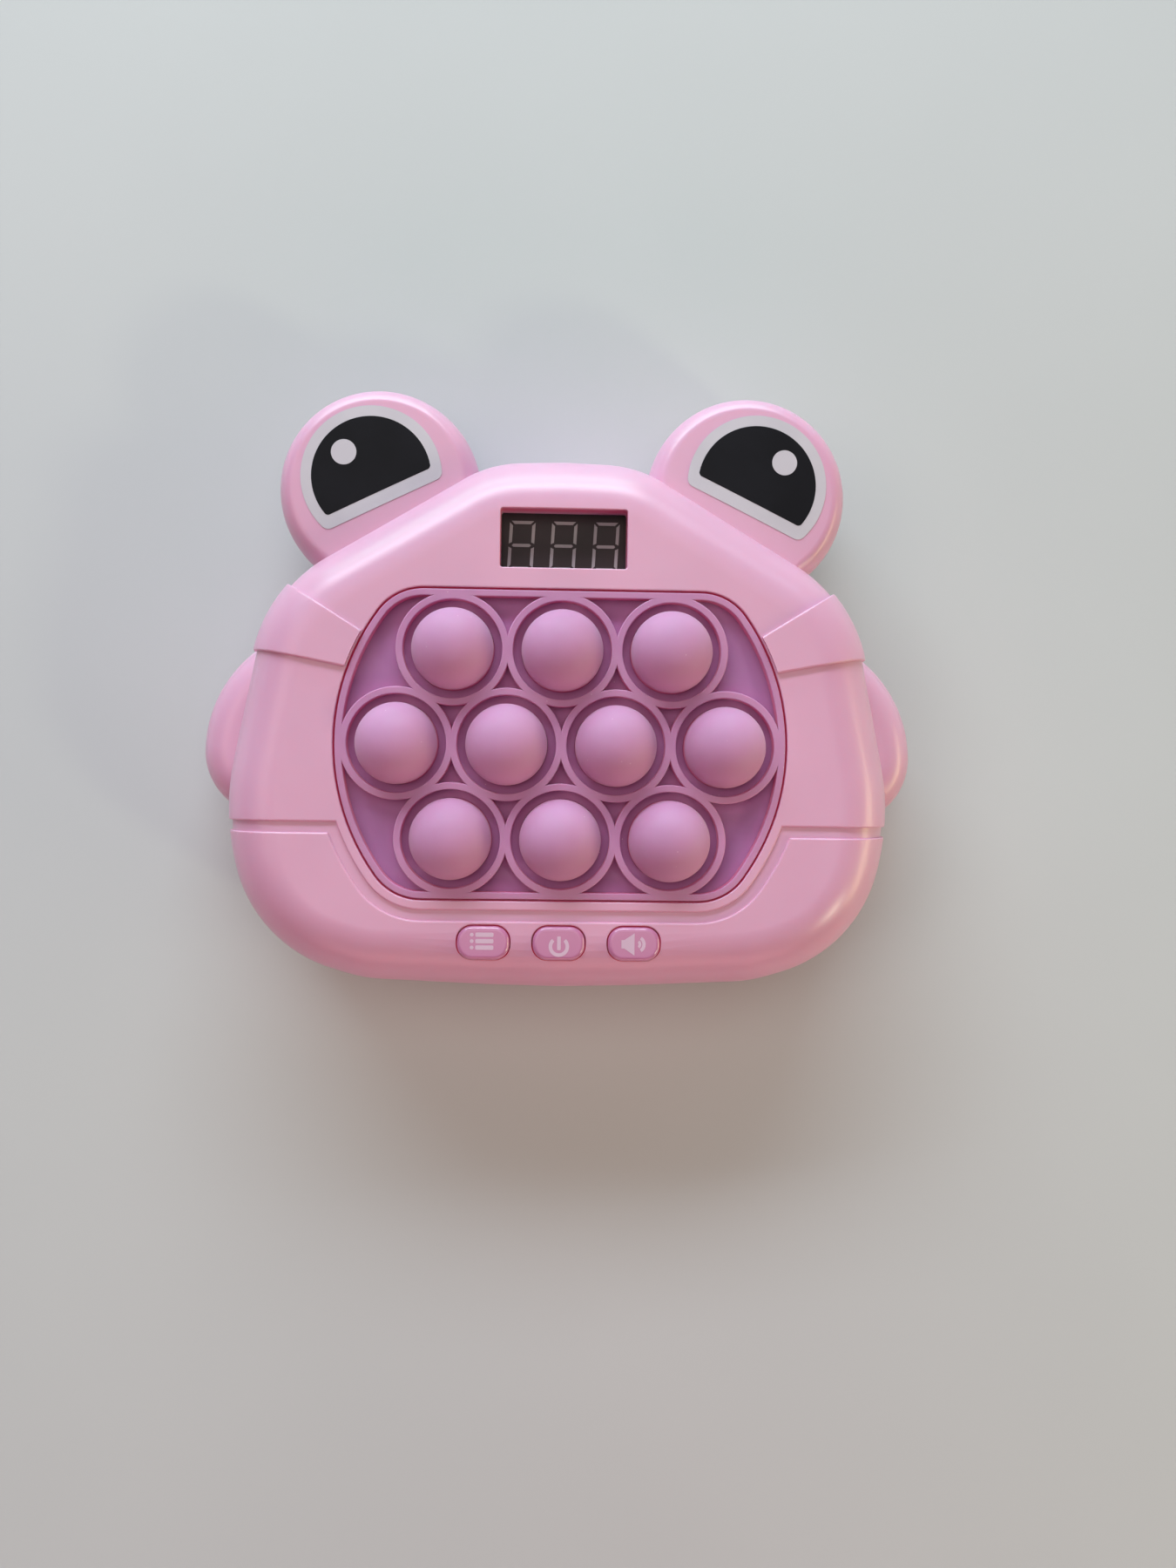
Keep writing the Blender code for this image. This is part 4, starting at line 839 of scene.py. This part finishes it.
class Finish:
    """A material in the making: a Principled shader fed by procedural nodes."""

    def __init__(self, name, **settings):
        self.material = bpy.data.materials.new(name)
        self.material.use_nodes = True
        self.tree = self.material.node_tree
        self.shader = self.tree.nodes["Principled BSDF"]
        self.place = self.node("TexCoord", {}, {}, output=3)
        for setting, value in settings.items():
            self.shader.inputs[socket_label(setting)].default_value = value

    def node(self, kind, settings, inputs, output=0):
        """Add a node: its settings first, then the values or links of its sockets."""
        made = self.tree.nodes.new("ShaderNode" + kind)
        for name, value in settings.items():
            setattr(made, name, value)
        for key, value in inputs.items():
            if isinstance(value, Wire):
                self.tree.links.new(value.socket, made.inputs[key])
            else:
                made.inputs[key].default_value = value
        return Wire(self, made.outputs[output])

    def noise(self, scale, detail=3.0):
        return self.node("TexNoise", {}, {"Vector": self.place, "Scale": scale, "Detail": detail})

    def along(self, axis):
        """Coordinate of the place: 0 across the face, 1 up it, 2 out of it."""
        return self.node("SeparateXYZ", {}, {0: self.place}, output=axis)

    def height(self):
        return self.along(2)

    def upright(self):
        """Mask of walls: 0 on level ground, 1 where the surface stands upright."""
        normal = self.node("NewGeometry", {}, {}, output=1)
        return 1 - self.node("SeparateXYZ", {}, {0: normal}, output=2).between(*WALL_EDGES)

    def specks(self, scale, size):
        """Mask of small round specks with soft edges, one in each cell of a loose grid."""
        distance = self.node("TexVoronoi", {}, {"Vector": self.place, "Scale": scale})
        return 1 - distance.between(size * SPECK_CORE_SHARE, size)

    def mix(self, factor, first, second):
        """Mix of two colours, which a Mix node takes at its sockets 6 and 7."""
        return self.node("Mix", {"data_type": "RGBA"}, {0: factor, 6: first, 7: second}, output=2)

    def clouded(self, scale, dark, pale):
        """Two close shades that pass into each other in soft clouds."""
        return self.mix(self.noise(scale).between(*CLOUD_EDGES), dark, pale)

    def bump(self, height, strength, distance):
        return self.node("Bump", {}, {"Height": height, "Strength": strength,
                                      "Distance": distance})

    def feed(self, **links):
        for name, wire in links.items():
            self.tree.links.new(wire.socket, self.shader.inputs[socket_label(name)])
        return self.material


def colour(red, green, blue):
    return (red, green, blue, 1.0)


BLACK = colour(0, 0, 0)
# Painted shade: dark red for the walls of the gaps round the window and round the buttons
PAINTED_SHADE_CRIMSON = colour(0.50, 0.03, 0.09)


def shell_finish():
    """Satin moulded plastic with a fine spark texture and a few dark specks.

    The walls of the openings carry painted dark red shade and a faint painted red glow, standing in
    for the shade in the gaps and the light that comes through the plastic.
    """
    finish = Finish("pink_shell_finish", ior=1.5, specular_ior_level=0.62, subsurface_weight=0.22,
                    subsurface_radius=(1.0, 0.30, 0.35), subsurface_scale=0.0016,
                    emission_strength=1.0)
    grain = finish.noise(scale=2600.0, detail=2.0)
    pits = finish.specks(scale=130.0, size=0.028) * (finish.noise(60.0, detail=1.0) > 0.56)
    base = finish.clouded(22.0, colour(0.682, 0.347, 0.518), colour(0.716, 0.374, 0.550))
    height = finish.height()
    # Painted shade and glow go on upright walls between two heights: the gap round the window and
    # the display recess
    walls = finish.upright() * height.between(*SHADE_AND_GLOW_FOOT) * (1 - height.between(*SHADE_AND_GLOW_TOP))
    across = finish.along(0)
    up = finish.along(1) - PAD_Y
    window = across * across + up * up < (WINDOW_RADIUS + GROOVE_INSET / 2) ** 2
    middle = across * across < DISPLAY_WIDTH ** 2
    gaps = walls * window
    recess = walls * (up > WINDOW_HALF_HEIGHT + GROOVE_INSET) * middle
    # Painted shade: dark red on the gap walls round the window, then on the recess walls of the
    # display
    red = finish.mix(gaps, base, PAINTED_SHADE_CRIMSON)
    walled = finish.mix(recess, red, colour(0.52, 0.12, 0.22))
    spotted = finish.mix(pits * 0.6, walled, colour(0.16, 0.07, 0.09))
    # Painted glow: a faint red emission on the same walls, which are no lamp
    gap_glow = finish.mix(gaps, BLACK, colour(0.15, 0, 0.012))
    glow = finish.mix(recess, gap_glow, colour(0.05, 0.002, 0.012))
    return finish.feed(base_color=spotted, emission_color=glow, roughness=0.26 + grain * 0.10,
                       normal=finish.bump(grain, strength=0.12, distance=0.04 * MM))


def silicone_finish():
    """Matt mauve silicone with pale lint that clings to it, painted darker at the floor of the
    pits, and with painted dark red shade and a faint painted glow on its low walls.
    """
    finish = Finish("mauve_silicone_finish", ior=1.41, specular_ior_level=0.35, sheen_weight=0.12,
                    sheen_roughness=0.5, subsurface_weight=0.35,
                    subsurface_radius=(1.0, 0.35, 0.6), subsurface_scale=0.002,
                    emission_strength=1.0)
    grain = finish.noise(scale=3200.0)
    lint = finish.specks(scale=420.0, size=0.055) * (finish.noise(150.0, detail=2.0) > 0.52)
    base = finish.clouded(45.0, colour(0.519, 0.236, 0.425), colour(0.561, 0.266, 0.472))
    # Painted shade: a darker colour below the web's top, at the floor of the pits
    painted_pit_shade = finish.mix(finish.height() < WEB_TOP + WELD, base, colour(0.447, 0.191, 0.422))
    # Painted shade: dark red on upright walls low in the pad, in the moats, rings and dome skirts
    walls = finish.upright() * (finish.height() < WEB_TOP + DOME_SIDE)
    walled = finish.mix(walls, painted_pit_shade, colour(0.50, 0.11, 0.25))
    linted = finish.mix(lint * 0.55, walled, colour(0.80, 0.66, 0.74))
    # Painted glow: a faint red emission on those walls, which are no lamp
    glow = finish.mix(walls, BLACK, colour(0.06, 0.005, 0.022))
    return finish.feed(base_color=linted, emission_color=glow, roughness=0.50 + grain * 0.14,
                       normal=finish.bump(grain, strength=0.16, distance=0.05 * MM))


def gloss_finish():
    """Polished plastic of the function buttons, whose sides carry painted dark red shade and a
    faint painted glow, as the shell's walls do.
    """
    finish = Finish("gloss_pink_finish", ior=1.5, specular_ior_level=0.5, coat_weight=1.0,
                    coat_roughness=0.13, emission_strength=1.0)
    cloud = finish.noise(scale=80.0, detail=2.0)
    base = finish.mix(cloud, colour(0.535, 0.190, 0.375), colour(0.560, 0.210, 0.400))
    # Painted shade and glow: the sides of each button below its rounded top turn dark red and give
    # a faint red emission
    walls = finish.upright() * (finish.height() < BUTTON_TOP - BUTTON_SHADE_AND_GLOW_DROP)
    walled = finish.mix(walls, base, PAINTED_SHADE_CRIMSON)
    glow = finish.mix(walls, BLACK, colour(0.12, 0, 0.010))
    return finish.feed(base_color=walled, emission_color=glow,
                       roughness=0.16 + finish.noise(900.0, detail=2.0) * 0.08)


def plain_finish(name, dark, pale, roughness, **settings):
    """Two close shades clouded together over a fine grain."""
    finish = Finish(name, **settings)
    grain = finish.noise(scale=1800.0, detail=2.0)
    return finish.feed(base_color=finish.clouded(90.0, colour(*dark), colour(*pale)),
                       roughness=roughness + grain * 0.12,
                       normal=finish.bump(grain, strength=0.08, distance=0.03 * MM))


def make_materials():
    materials = {"shell": shell_finish(), "silicone": silicone_finish(), "gloss": gloss_finish()}
    for name, (dark, pale, roughness, settings) in PLAIN_FINISHES.items():
        materials[name] = plain_finish(name + "_finish", dark, pale, roughness, **settings)
    return materials


# The object's pieces

def housing_screw_places():
    places = []
    for across, up in HOUSING_SCREW_SHARES:
        for side in (-1, 1):
            height = BODY_TOP if up > 0 else BODY_BOTTOM
            places.append((side * across * BODY_HALF_WIDTH, up * height))
    return places


def button_outline(x, y, margin, corner, turn=COARSE_TURN):
    return rounded_box(x, y, BUTTON_WIDTH / 2 + margin, BUTTON_HEIGHT / 2 + margin, corner, turn)


def make_front_moulding(materials):
    """Front half: face, side bands, jaw groove, window, display shroud and button collars."""
    shell = toy_form("front_moulding", 0)
    for side in (-1, 1):
        band = body_form("band", BAND_RISE, FINE_TURN, FINE_SEGMENTS)
        plan = closely(band_outline(side), LIP_SPACING)
        trim(band, flared("band_plan", plan, PARTING_Z, face_height(BAND_RISE), -BAND_ROUND, CLEAR))
        join(shell, band)
    plan = closely(groove_outline(BODY_HALF_WIDTH + OVERRUN), LIP_SPACING)
    groove = flared("groove", plan, PARTING_Z - OVERRUN, face_height(0), GROOVE_ROUND, CLEAR)
    cut(groove, body_form("groove_floor", -GROOVE_DEPTH, FINE_TURN, FINE_SEGMENTS))
    cut(shell, groove)
    cut(shell, hollow_form("hollow", -WALL))

    inside = block("shroud", rounded_box(0, DISPLAY_Y, DISPLAY_WIDTH / 2 + SHROUD_WALL,
                                         DISPLAY_HEIGHT / 2 + SHROUD_WALL, SHROUD_WALL),
                   DISPLAY_FACE + SHROUD_GAP, BODY_DEPTH)
    for x, y in button_places():
        outline = button_outline(x, y, BUTTON_GAP + COLLAR, BUTTON_CORNER + COLLAR)
        join(inside, block("collar", outline, COLLAR_LOW, BODY_DEPTH))
    trim(inside, hollow_form("skin", -WALL / 2))
    join(shell, inside)
    trim(shell, slab("front", PARTING_Z + PARTING_GAP / 2, BODY_DEPTH + OVERRUN))

    cut(shell, flared("window", window_outline(0), PARTING_Z, BODY_DEPTH))
    opening = rounded_box(0, DISPLAY_Y, DISPLAY_WIDTH / 2, DISPLAY_HEIGHT / 2, DISPLAY_CORNER)
    cut(shell, flared("display_opening", opening, DISPLAY_FACE - OVERRUN, BODY_DEPTH))
    for x, y in button_places():
        hole = button_outline(x, y, BUTTON_GAP, BUTTON_CORNER + BUTTON_GAP, FINE_TURN)
        cut(shell, flared("button_hole", hole, COLLAR_LOW - OVERRUN, BODY_DEPTH))
    finished(shell, materials["shell"], "housing", "pink_shell", "front_shell")


def door_outline(clearance):
    return rounded_box(0, DOOR_Y, DOOR_HALF_WIDTH + clearance, DOOR_HALF_HEIGHT + clearance,
                       DOOR_CORNER + clearance)


def make_rear_moulding(materials):
    """Back half: battery bay, door recess, speaker grille and screw wells."""
    shell = toy_form("rear_moulding", 0)
    cut(shell, hollow_form("hollow", -WALL))
    trim(shell, slab("rear", -OVERRUN, PARTING_Z - PARTING_GAP / 2))
    inside = block("bay", door_outline(BAY_WALL), 0, BAY_TOP)
    for x, y in housing_screw_places():
        join(inside, rod("boss", x, y, 0, BOSS_TOP, BOSS_RADIUS))
    trim(inside, hollow_form("skin", -WALL / 2))
    join(shell, inside)
    cut(shell, block("door_recess", door_outline(DOOR_ROOM), -OVERRUN, DOOR_SEAT))
    cut(shell, box("bay_room", BAY_ROOM_LOW, BAY_ROOM_HIGH))
    for x, y in housing_screw_places():
        cut(shell, rod("well", x, y, -OVERRUN, WELL_TOP, WELL_RADIUS))
    for index in range(GRILLE_SLOTS):
        up = (index - (GRILLE_SLOTS - 1) / 2) * GRILLE_PITCH
        half = math.sqrt(GRILLE_REACH ** 2 - up ** 2)
        outline = rounded_box(0, GRILLE_Y + up, half, GRILLE_SLOT_HALF, GRILLE_SLOT_CORNER)
        cut(shell, block("slot", outline, -OVERRUN, WALL + OVERRUN))
    finished(shell, materials["shell"], "housing", "pink_shell", "rear_shell")


def make_eye_labels(materials):
    """Printed film on each eye: white, with a black half-round pupil and a round glint."""
    for side, name in ((-1, "left"), (1, "right")):
        film = half_round_outline(side, *FILM_SIZES)
        pupil = half_round_outline(side, *PUPIL_SIZES)
        glint = shifted(circle(side * GLINT_X, GLINT_Y, GLINT_RADIUS, ROUND_STEPS),
                        LABEL_SHIFTS[side])
        layers = [("eye_film_", materials["label_film"], FILM_LIFT, FILM, film),
                  ("eye_pupil_", materials["black_ink"], FILM, FILM + PRINT, pupil),
                  ("eye_glint_", materials["label_film"], FILM + PRINT, FILM + 2 * PRINT, glint)]
        for label, material, low, high, outline in layers:
            piece = spun(label + name, dish_profile(low, high), side * EYE_X, EYE_Y, EYE_STEPS)
            trim(piece, block("plan", outline, EYE_FRONT_Z - OVERRUN, EYE_FRONT_Z + OVERRUN))
            nodes = ["eye_label_" + name] if label == "eye_film_" else []
            finished(piece, material, "housing", "label_film", *nodes)


def dish_profile(low, high):
    """Half section of a slim dish that follows an eye's domed face."""
    steps = 2 * EYE_FACE_STEPS
    across = [EYE_RADIUS * step / steps for step in range(steps + 1)]
    top = [(x, crown(x) + high) for x in across]
    bottom = [(x, crown(x) + low) for x in reversed(across)]
    return top + bottom


def make_pad(materials):
    """Silicone sheet: flange under the face, rim, web and a raised ring round each bubble."""
    pad = block("silicone_pad", window_outline(-WINDOW_GAP), WEB_TOP - WEB, PAD_TOP)
    round_edges(pad, at_height(PAD_TOP), RING_ROUND, COARSE_SEGMENTS)
    join(pad, block("flange", window_outline(PAD_FLANGE), WEB_TOP - WEB, PAD_LEDGE))
    pits = flared("pits", window_outline(-WINDOW_GAP - PAD_RIM), WEB_TOP, PAD_TOP, RING_ROUND)
    ring = flared("ring", circle(0, 0, RING_OUTER, RING_STEPS), WEB_TOP - OVERRUN, PAD_TOP,
                  -RING_ROUND, 2 * OVERRUN)
    cut(pits, *copies(ring, bubble_places()))
    moat = flared("moat", circle(0, 0, RING_INNER, RING_STEPS), WEB_TOP, PAD_TOP, RING_ROUND)
    join(moat, block("hole", circle(0, 0, DOME_RADIUS + HINGE_GAP, RING_STEPS),
                     WEB_TOP - WEB - OVERRUN, WEB_TOP + OVERRUN))
    cut(pad, pits, *copies(moat, bubble_places()))
    finished(pad, materials["silicone"], "housing", "mauve_silicone", "pop_pad")


def make_domes(materials):
    """Ten hollow domes with straight skirts, each on its own sliding body."""
    first = started("dome", bpy.ops.mesh.primitive_uv_sphere_add, segments=DOME_STEPS,
                    ring_count=DOME_STEPS // 2, radius=DOME_RADIUS)
    edit(first)
    bpy.ops.mesh.select_all(action="SELECT")
    bpy.ops.mesh.bisect(plane_co=(0, 0, 0), plane_no=(0, 0, 1), clear_inner=True)
    bpy.ops.mesh.select_all(action="SELECT")
    bpy.ops.transform.resize(value=(1, 1, DOME_RISE / DOME_RADIUS), center_override=(0, 0, 0))
    pick_edges(first, at_height(0))
    bpy.ops.mesh.extrude_region_move(TRANSFORM_OT_translate={"value": (0, 0, -DOME_SIDE)})
    bpy.ops.mesh.extrude_region_move(TRANSFORM_OT_translate={"value": (0, 0, -WEB)})
    turn_outwards()
    modify(first, "SOLIDIFY", thickness=DOME_WALL, offset=-1)
    domes = copies(first, bubble_places(), WEB_TOP + DOME_SIDE)
    for number, dome in enumerate(domes, start=1):
        dome.name = f"dome_{number:02d}"
        finished(dome, materials["silicone"], f"pop_{number:02d}", "mauve_silicone",
                 f"bubble_{number:02d}")


def menu_icon(x, y):
    """Three dots, each with a bar after it."""
    shapes = []
    for row in (-1, 0, 1):
        line = y + MENU_UP + row * MENU_PITCH
        shapes.append(circle(x - MENU_DOT_OUT, line, MENU_DOT, SMALL_STEPS))
        shapes.append(rounded_box(x + MENU_BAR_OUT, line, MENU_BAR, MENU_THICK,
                                  MENU_THICK * MENU_ROUND_SHARE))
    return shapes


def power_icon(x, y):
    """Ring open at the top, with an upright bar in the opening."""
    middle = (x + POWER_OUT, y - POWER_DOWN)
    start = math.pi / 2 + POWER_OPENING
    sweep = math.tau - 2 * POWER_OPENING
    ring = arc(middle, POWER_RING + ICON_LINE, start, sweep, FINE_TURN)
    ring += arc(middle, POWER_RING - ICON_LINE, start + sweep, -sweep, FINE_TURN)
    return [ring, rounded_box(x + POWER_OUT, y + POWER_UP, ICON_LINE, POWER_BAR, ICON_LINE / 2)]


def sound_icon(x, y):
    """Loudspeaker horn with two waves."""
    line = y + SOUND_UP
    shapes = [[(x + across * MM, line + up * MM) for across, up in HORN_CORNERS]]
    for radius, half in WAVES:
        middle = (x + WAVE_OUT, line)
        outer = arc(middle, radius + half, -WAVE_SPREAD, 2 * WAVE_SPREAD, FINE_TURN)
        shapes.append(outer + arc(middle, radius - half, WAVE_SPREAD, -2 * WAVE_SPREAD, FINE_TURN))
    return shapes


def make_function_buttons(materials):
    icons = {"menu": menu_icon, "power": power_icon, "sound": sound_icon}
    for (x, y), name in zip(button_places(), icons):
        cap = block(name + "_cap", button_outline(x, y, 0, BUTTON_CORNER, FINE_TURN),
                    BUTTON_LOW, BUTTON_TOP)
        round_edges(cap, at_height(BUTTON_TOP), BUTTON_ROUND, BUTTON_SEGMENTS)
        join(cap, block("flange", button_outline(x, y, BUTTON_FLANGE, BUTTON_CORNER),
                        BUTTON_FLANGE_LOW, BUTTON_FLANGE_TOP))
        join(cap, rod("stem", x, y, BUTTON_STEM_LOW, BUTTON_LOW, BUTTON_STEM_RADIUS))
        finished(cap, materials["gloss"], name + "_key", "gloss_pink", name + "_button")
        shapes = [block("shape", outline, BUTTON_TOP - PRINT_SINK, BUTTON_TOP + PRINT)
                  for outline in icons[name](x, y)]
        finished(merged(name + "_icon", shapes), materials["pale_ink"], name + "_key", "gloss_pink")


def make_display(materials):
    """Module behind the shroud, with the unlit segments of three digits."""
    half_width = DISPLAY_WIDTH / 2 + MODULE_SIDE_MARGIN
    half_height = DISPLAY_HEIGHT / 2 + MODULE_END_MARGIN
    module = box("digit_module", (-half_width, DISPLAY_Y - half_height, MODULE_LOW),
                 (half_width, DISPLAY_Y + half_height, DISPLAY_FACE))
    for row in (-1, 1):
        for index in range(PINS_PER_ROW):
            across = (index - (PINS_PER_ROW - 1) / 2) * PIN_PITCH
            join(module, rod("pin", across, DISPLAY_Y + row * PIN_ROW, PIN_LOW, PIN_TOP,
                             PIN_RADIUS, PIN_STEPS))
    round_edges(module, at_height(DISPLAY_FACE), MODULE_ROUND, MODULE_SEGMENTS)
    finished(module, materials["display_resin"], "housing", "display_resin", "display_module")
    shapes = []
    for middle in DIGIT_PLACES:
        for points in digit_outlines():
            placed = [(middle + x + y * DIGIT_LEAN, DIGIT_LEVEL + y) for x, y in points]
            shapes.append(block("segment", placed, DISPLAY_FACE - PRINT_SINK,
                                DISPLAY_FACE + SEGMENT_PROUD))
    finished(merged("digit_segments", shapes), materials["segment"], "housing", "display_resin")


def digit_outlines():
    """Seven bars of a digit about its middle, mitred towards each other."""
    outer = SEGMENT_REACH + SEGMENT_HALF
    inner = SEGMENT_REACH - SEGMENT_HALF
    top = SEGMENT_RISE + SEGMENT_HALF
    below = SEGMENT_RISE - SEGMENT_HALF
    cap = [(-outer + SEGMENT_GAP, top), (-inner + SEGMENT_GAP, below), (inner - SEGMENT_GAP, below),
           (outer - SEGMENT_GAP, top)]
    flat = inner - SEGMENT_HALF
    bar = [(-inner, 0), (-flat, SEGMENT_HALF), (flat, SEGMENT_HALF), (inner, 0),
           (flat, -SEGMENT_HALF), (-flat, -SEGMENT_HALF)]
    post = [(inner, below - SEGMENT_GAP), (outer, top - SEGMENT_GAP), (outer, SEGMENT_GAP),
            (inner, SEGMENT_HALF + SEGMENT_GAP)]
    shapes = [cap, bar, [(x, -y) for x, y in cap]]
    for side in (-1, 1):
        for end in (-1, 1):
            shapes.append([(side * x, end * y) for x, y in post])
    return shapes


def make_battery_door(materials):
    """Door with two tabs, the well of its screw and a wedge of grip grooves."""
    door = block("bay_door", door_outline(0), DOOR_LOW, DOOR_TOP)
    round_edges(door, at_height(DOOR_LOW), DOOR_ROUND, COARSE_SEGMENTS)
    for side in (-1, 1):
        x = side * DOOR_HALF_WIDTH * TAB_SPREAD_SHARE
        join(door, box("tab", (x - TAB_HALF_WIDTH, *TAB_FROM), (x + TAB_HALF_WIDTH, *TAB_TO)))
    cut(door, rod("well", 0, DOOR_SCREW_Y, -OVERRUN, DOOR_WELL_TOP, WELL_RADIUS))
    cut(door, rod("hole", 0, DOOR_SCREW_Y, -OVERRUN, DOOR_HOLE_TOP, DOOR_HOLE_RADIUS))
    for index in range(RIBS):
        rib = rounded_box(0, RIB_Y + index * RIB_PITCH, RIB_REACH - index * RIB_TAPER, RIB_HALF,
                          RIB_CORNER)
        cut(door, block("rib", rib, 0, RIB_DEPTH))
    finished(door, materials["shell"], "housing", "pink_shell", "battery_door")


def screw(head, length):
    """Pan-head screw with a cross recess, head down on the middle of the scene."""
    piece = rod("screw", 0, 0, 0, head, SCREW_HEAD_RADIUS, SCREW_STEPS)
    round_edges(piece, at_height(0), HEAD_ROUND, COARSE_SEGMENTS)
    join(piece, rod("shaft", 0, 0, head / 2, head + length, SCREW_RADIUS, SMALL_STEPS))
    for across, up in ((CROSS_REACH, CROSS_HALF), (CROSS_HALF, CROSS_REACH)):
        cut(piece, box("cross", (-across, -up, -OVERRUN), (across, up, CROSS_DEPTH)))
    return piece


def numbered(stem, count, digits=1):
    """Names that end in a number, counted from 1."""
    return [f"{stem}_{number:0{digits}d}" for number in range(1, count + 1)]


def make_screws(materials):
    """Screws of the housing and of the door, where the part has them."""
    case_nodes = numbered("housing_screw", 2 * len(HOUSING_SCREW_SHARES))
    kinds = [("case_screw", screw(SCREW_HEAD, SCREW_LENGTH), case_nodes),
             ("door_screw", screw(DOOR_SCREW_HEAD, DOOR_SCREW_LENGTH), ["battery_door_screw"])]
    for kind, first, nodes in kinds:
        boxes = [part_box(node) for node in nodes]
        places = [((low[0] + high[0]) / 2, (low[1] + high[1]) / 2 - PAD_Y) for low, high in boxes]
        head_height = boxes[0][0][2]
        pieces = copies(first, places, head_height)
        for name, node, piece in zip(numbered(kind, len(nodes)), nodes, pieces):
            piece.name = name
            finished(piece, materials["plated_steel"], "housing", "plated_steel", node)


def dress_inner_nodes(materials):
    """Give the part's own inner nodes their materials."""
    contacts = ["contact_strip_left", "contact_strip_right"]
    dress = {"white_plastic": ["pad_tray"],
             "board_laminate": ["main_board"],
             "speaker_cone": ["speaker"],
             "milky_plastic": numbered("light_cap", sum(ROWS), digits=2),
             "cell_sleeve": numbered("battery", CELLS),
             "plated_steel": contacts + numbered("board_screw", BOARD_SCREWS)}
    for material, names in dress.items():
        for name in names:
            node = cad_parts[name]
            node.data.materials.clear()
            node.data.materials.append(materials[material])


# Stage, light and camera

def make_stage():
    floor = started("table", bpy.ops.mesh.primitive_plane_add, size=TABLE_SIZE)
    finish = Finish("table_finish", ior=1.45, specular_ior_level=0.3)
    tone = finish.clouded(6.0, colour(0.545, 0.560, 0.585), colour(0.565, 0.580, 0.605))
    table = finish.feed(base_color=tone, roughness=0.5 + finish.noise(900.0) * 0.1)
    floor.data.materials.append(table)


def add_area(name, place, size, power, tint):
    """Rectangular light that looks at the object."""
    bpy.ops.object.light_add(type="AREA", location=place)
    lamp = bpy.context.object
    lamp.name = name
    lamp.data.shape = "RECTANGLE"
    lamp.data.size = size[0]
    lamp.data.size_y = size[1]
    lamp.data.energy = power
    lamp.data.color = tint
    lamp.rotation_euler = (Vector(place) - LAMP_TARGET).to_track_quat("Z", "Y").to_euler()


def make_light():
    """Cool light from a wide window beyond the eyes, and warmer light from the room's lamps."""
    world = bpy.data.worlds.new("studio")
    world.use_nodes = True
    background = world.node_tree.nodes["Background"]
    background.inputs["Color"].default_value = colour(*WORLD_TINT)
    background.inputs["Strength"].default_value = WORLD_STRENGTH
    bpy.context.scene.world = world
    for name, lamp in LAMPS.items():
        add_area(name, *lamp)


def make_camera():
    bpy.ops.object.camera_add(location=CAMERA_PLACE, rotation=CAMERA_TURN)
    camera = bpy.context.object
    camera.data.lens = CAMERA_LENS
    camera.data.sensor_width = CAMERA_SENSOR
    bpy.context.scene.camera = camera


def main():
    make_camera()
    materials = make_materials()
    for make in (make_front_moulding, make_rear_moulding, make_eye_labels, make_pad, make_domes,
                 make_function_buttons, make_display, make_battery_door, make_screws,
                 dress_inner_nodes):
        make(materials)
    make_stage()
    make_light()
    bpy.context.scene.view_settings.view_transform = "Standard"


main()
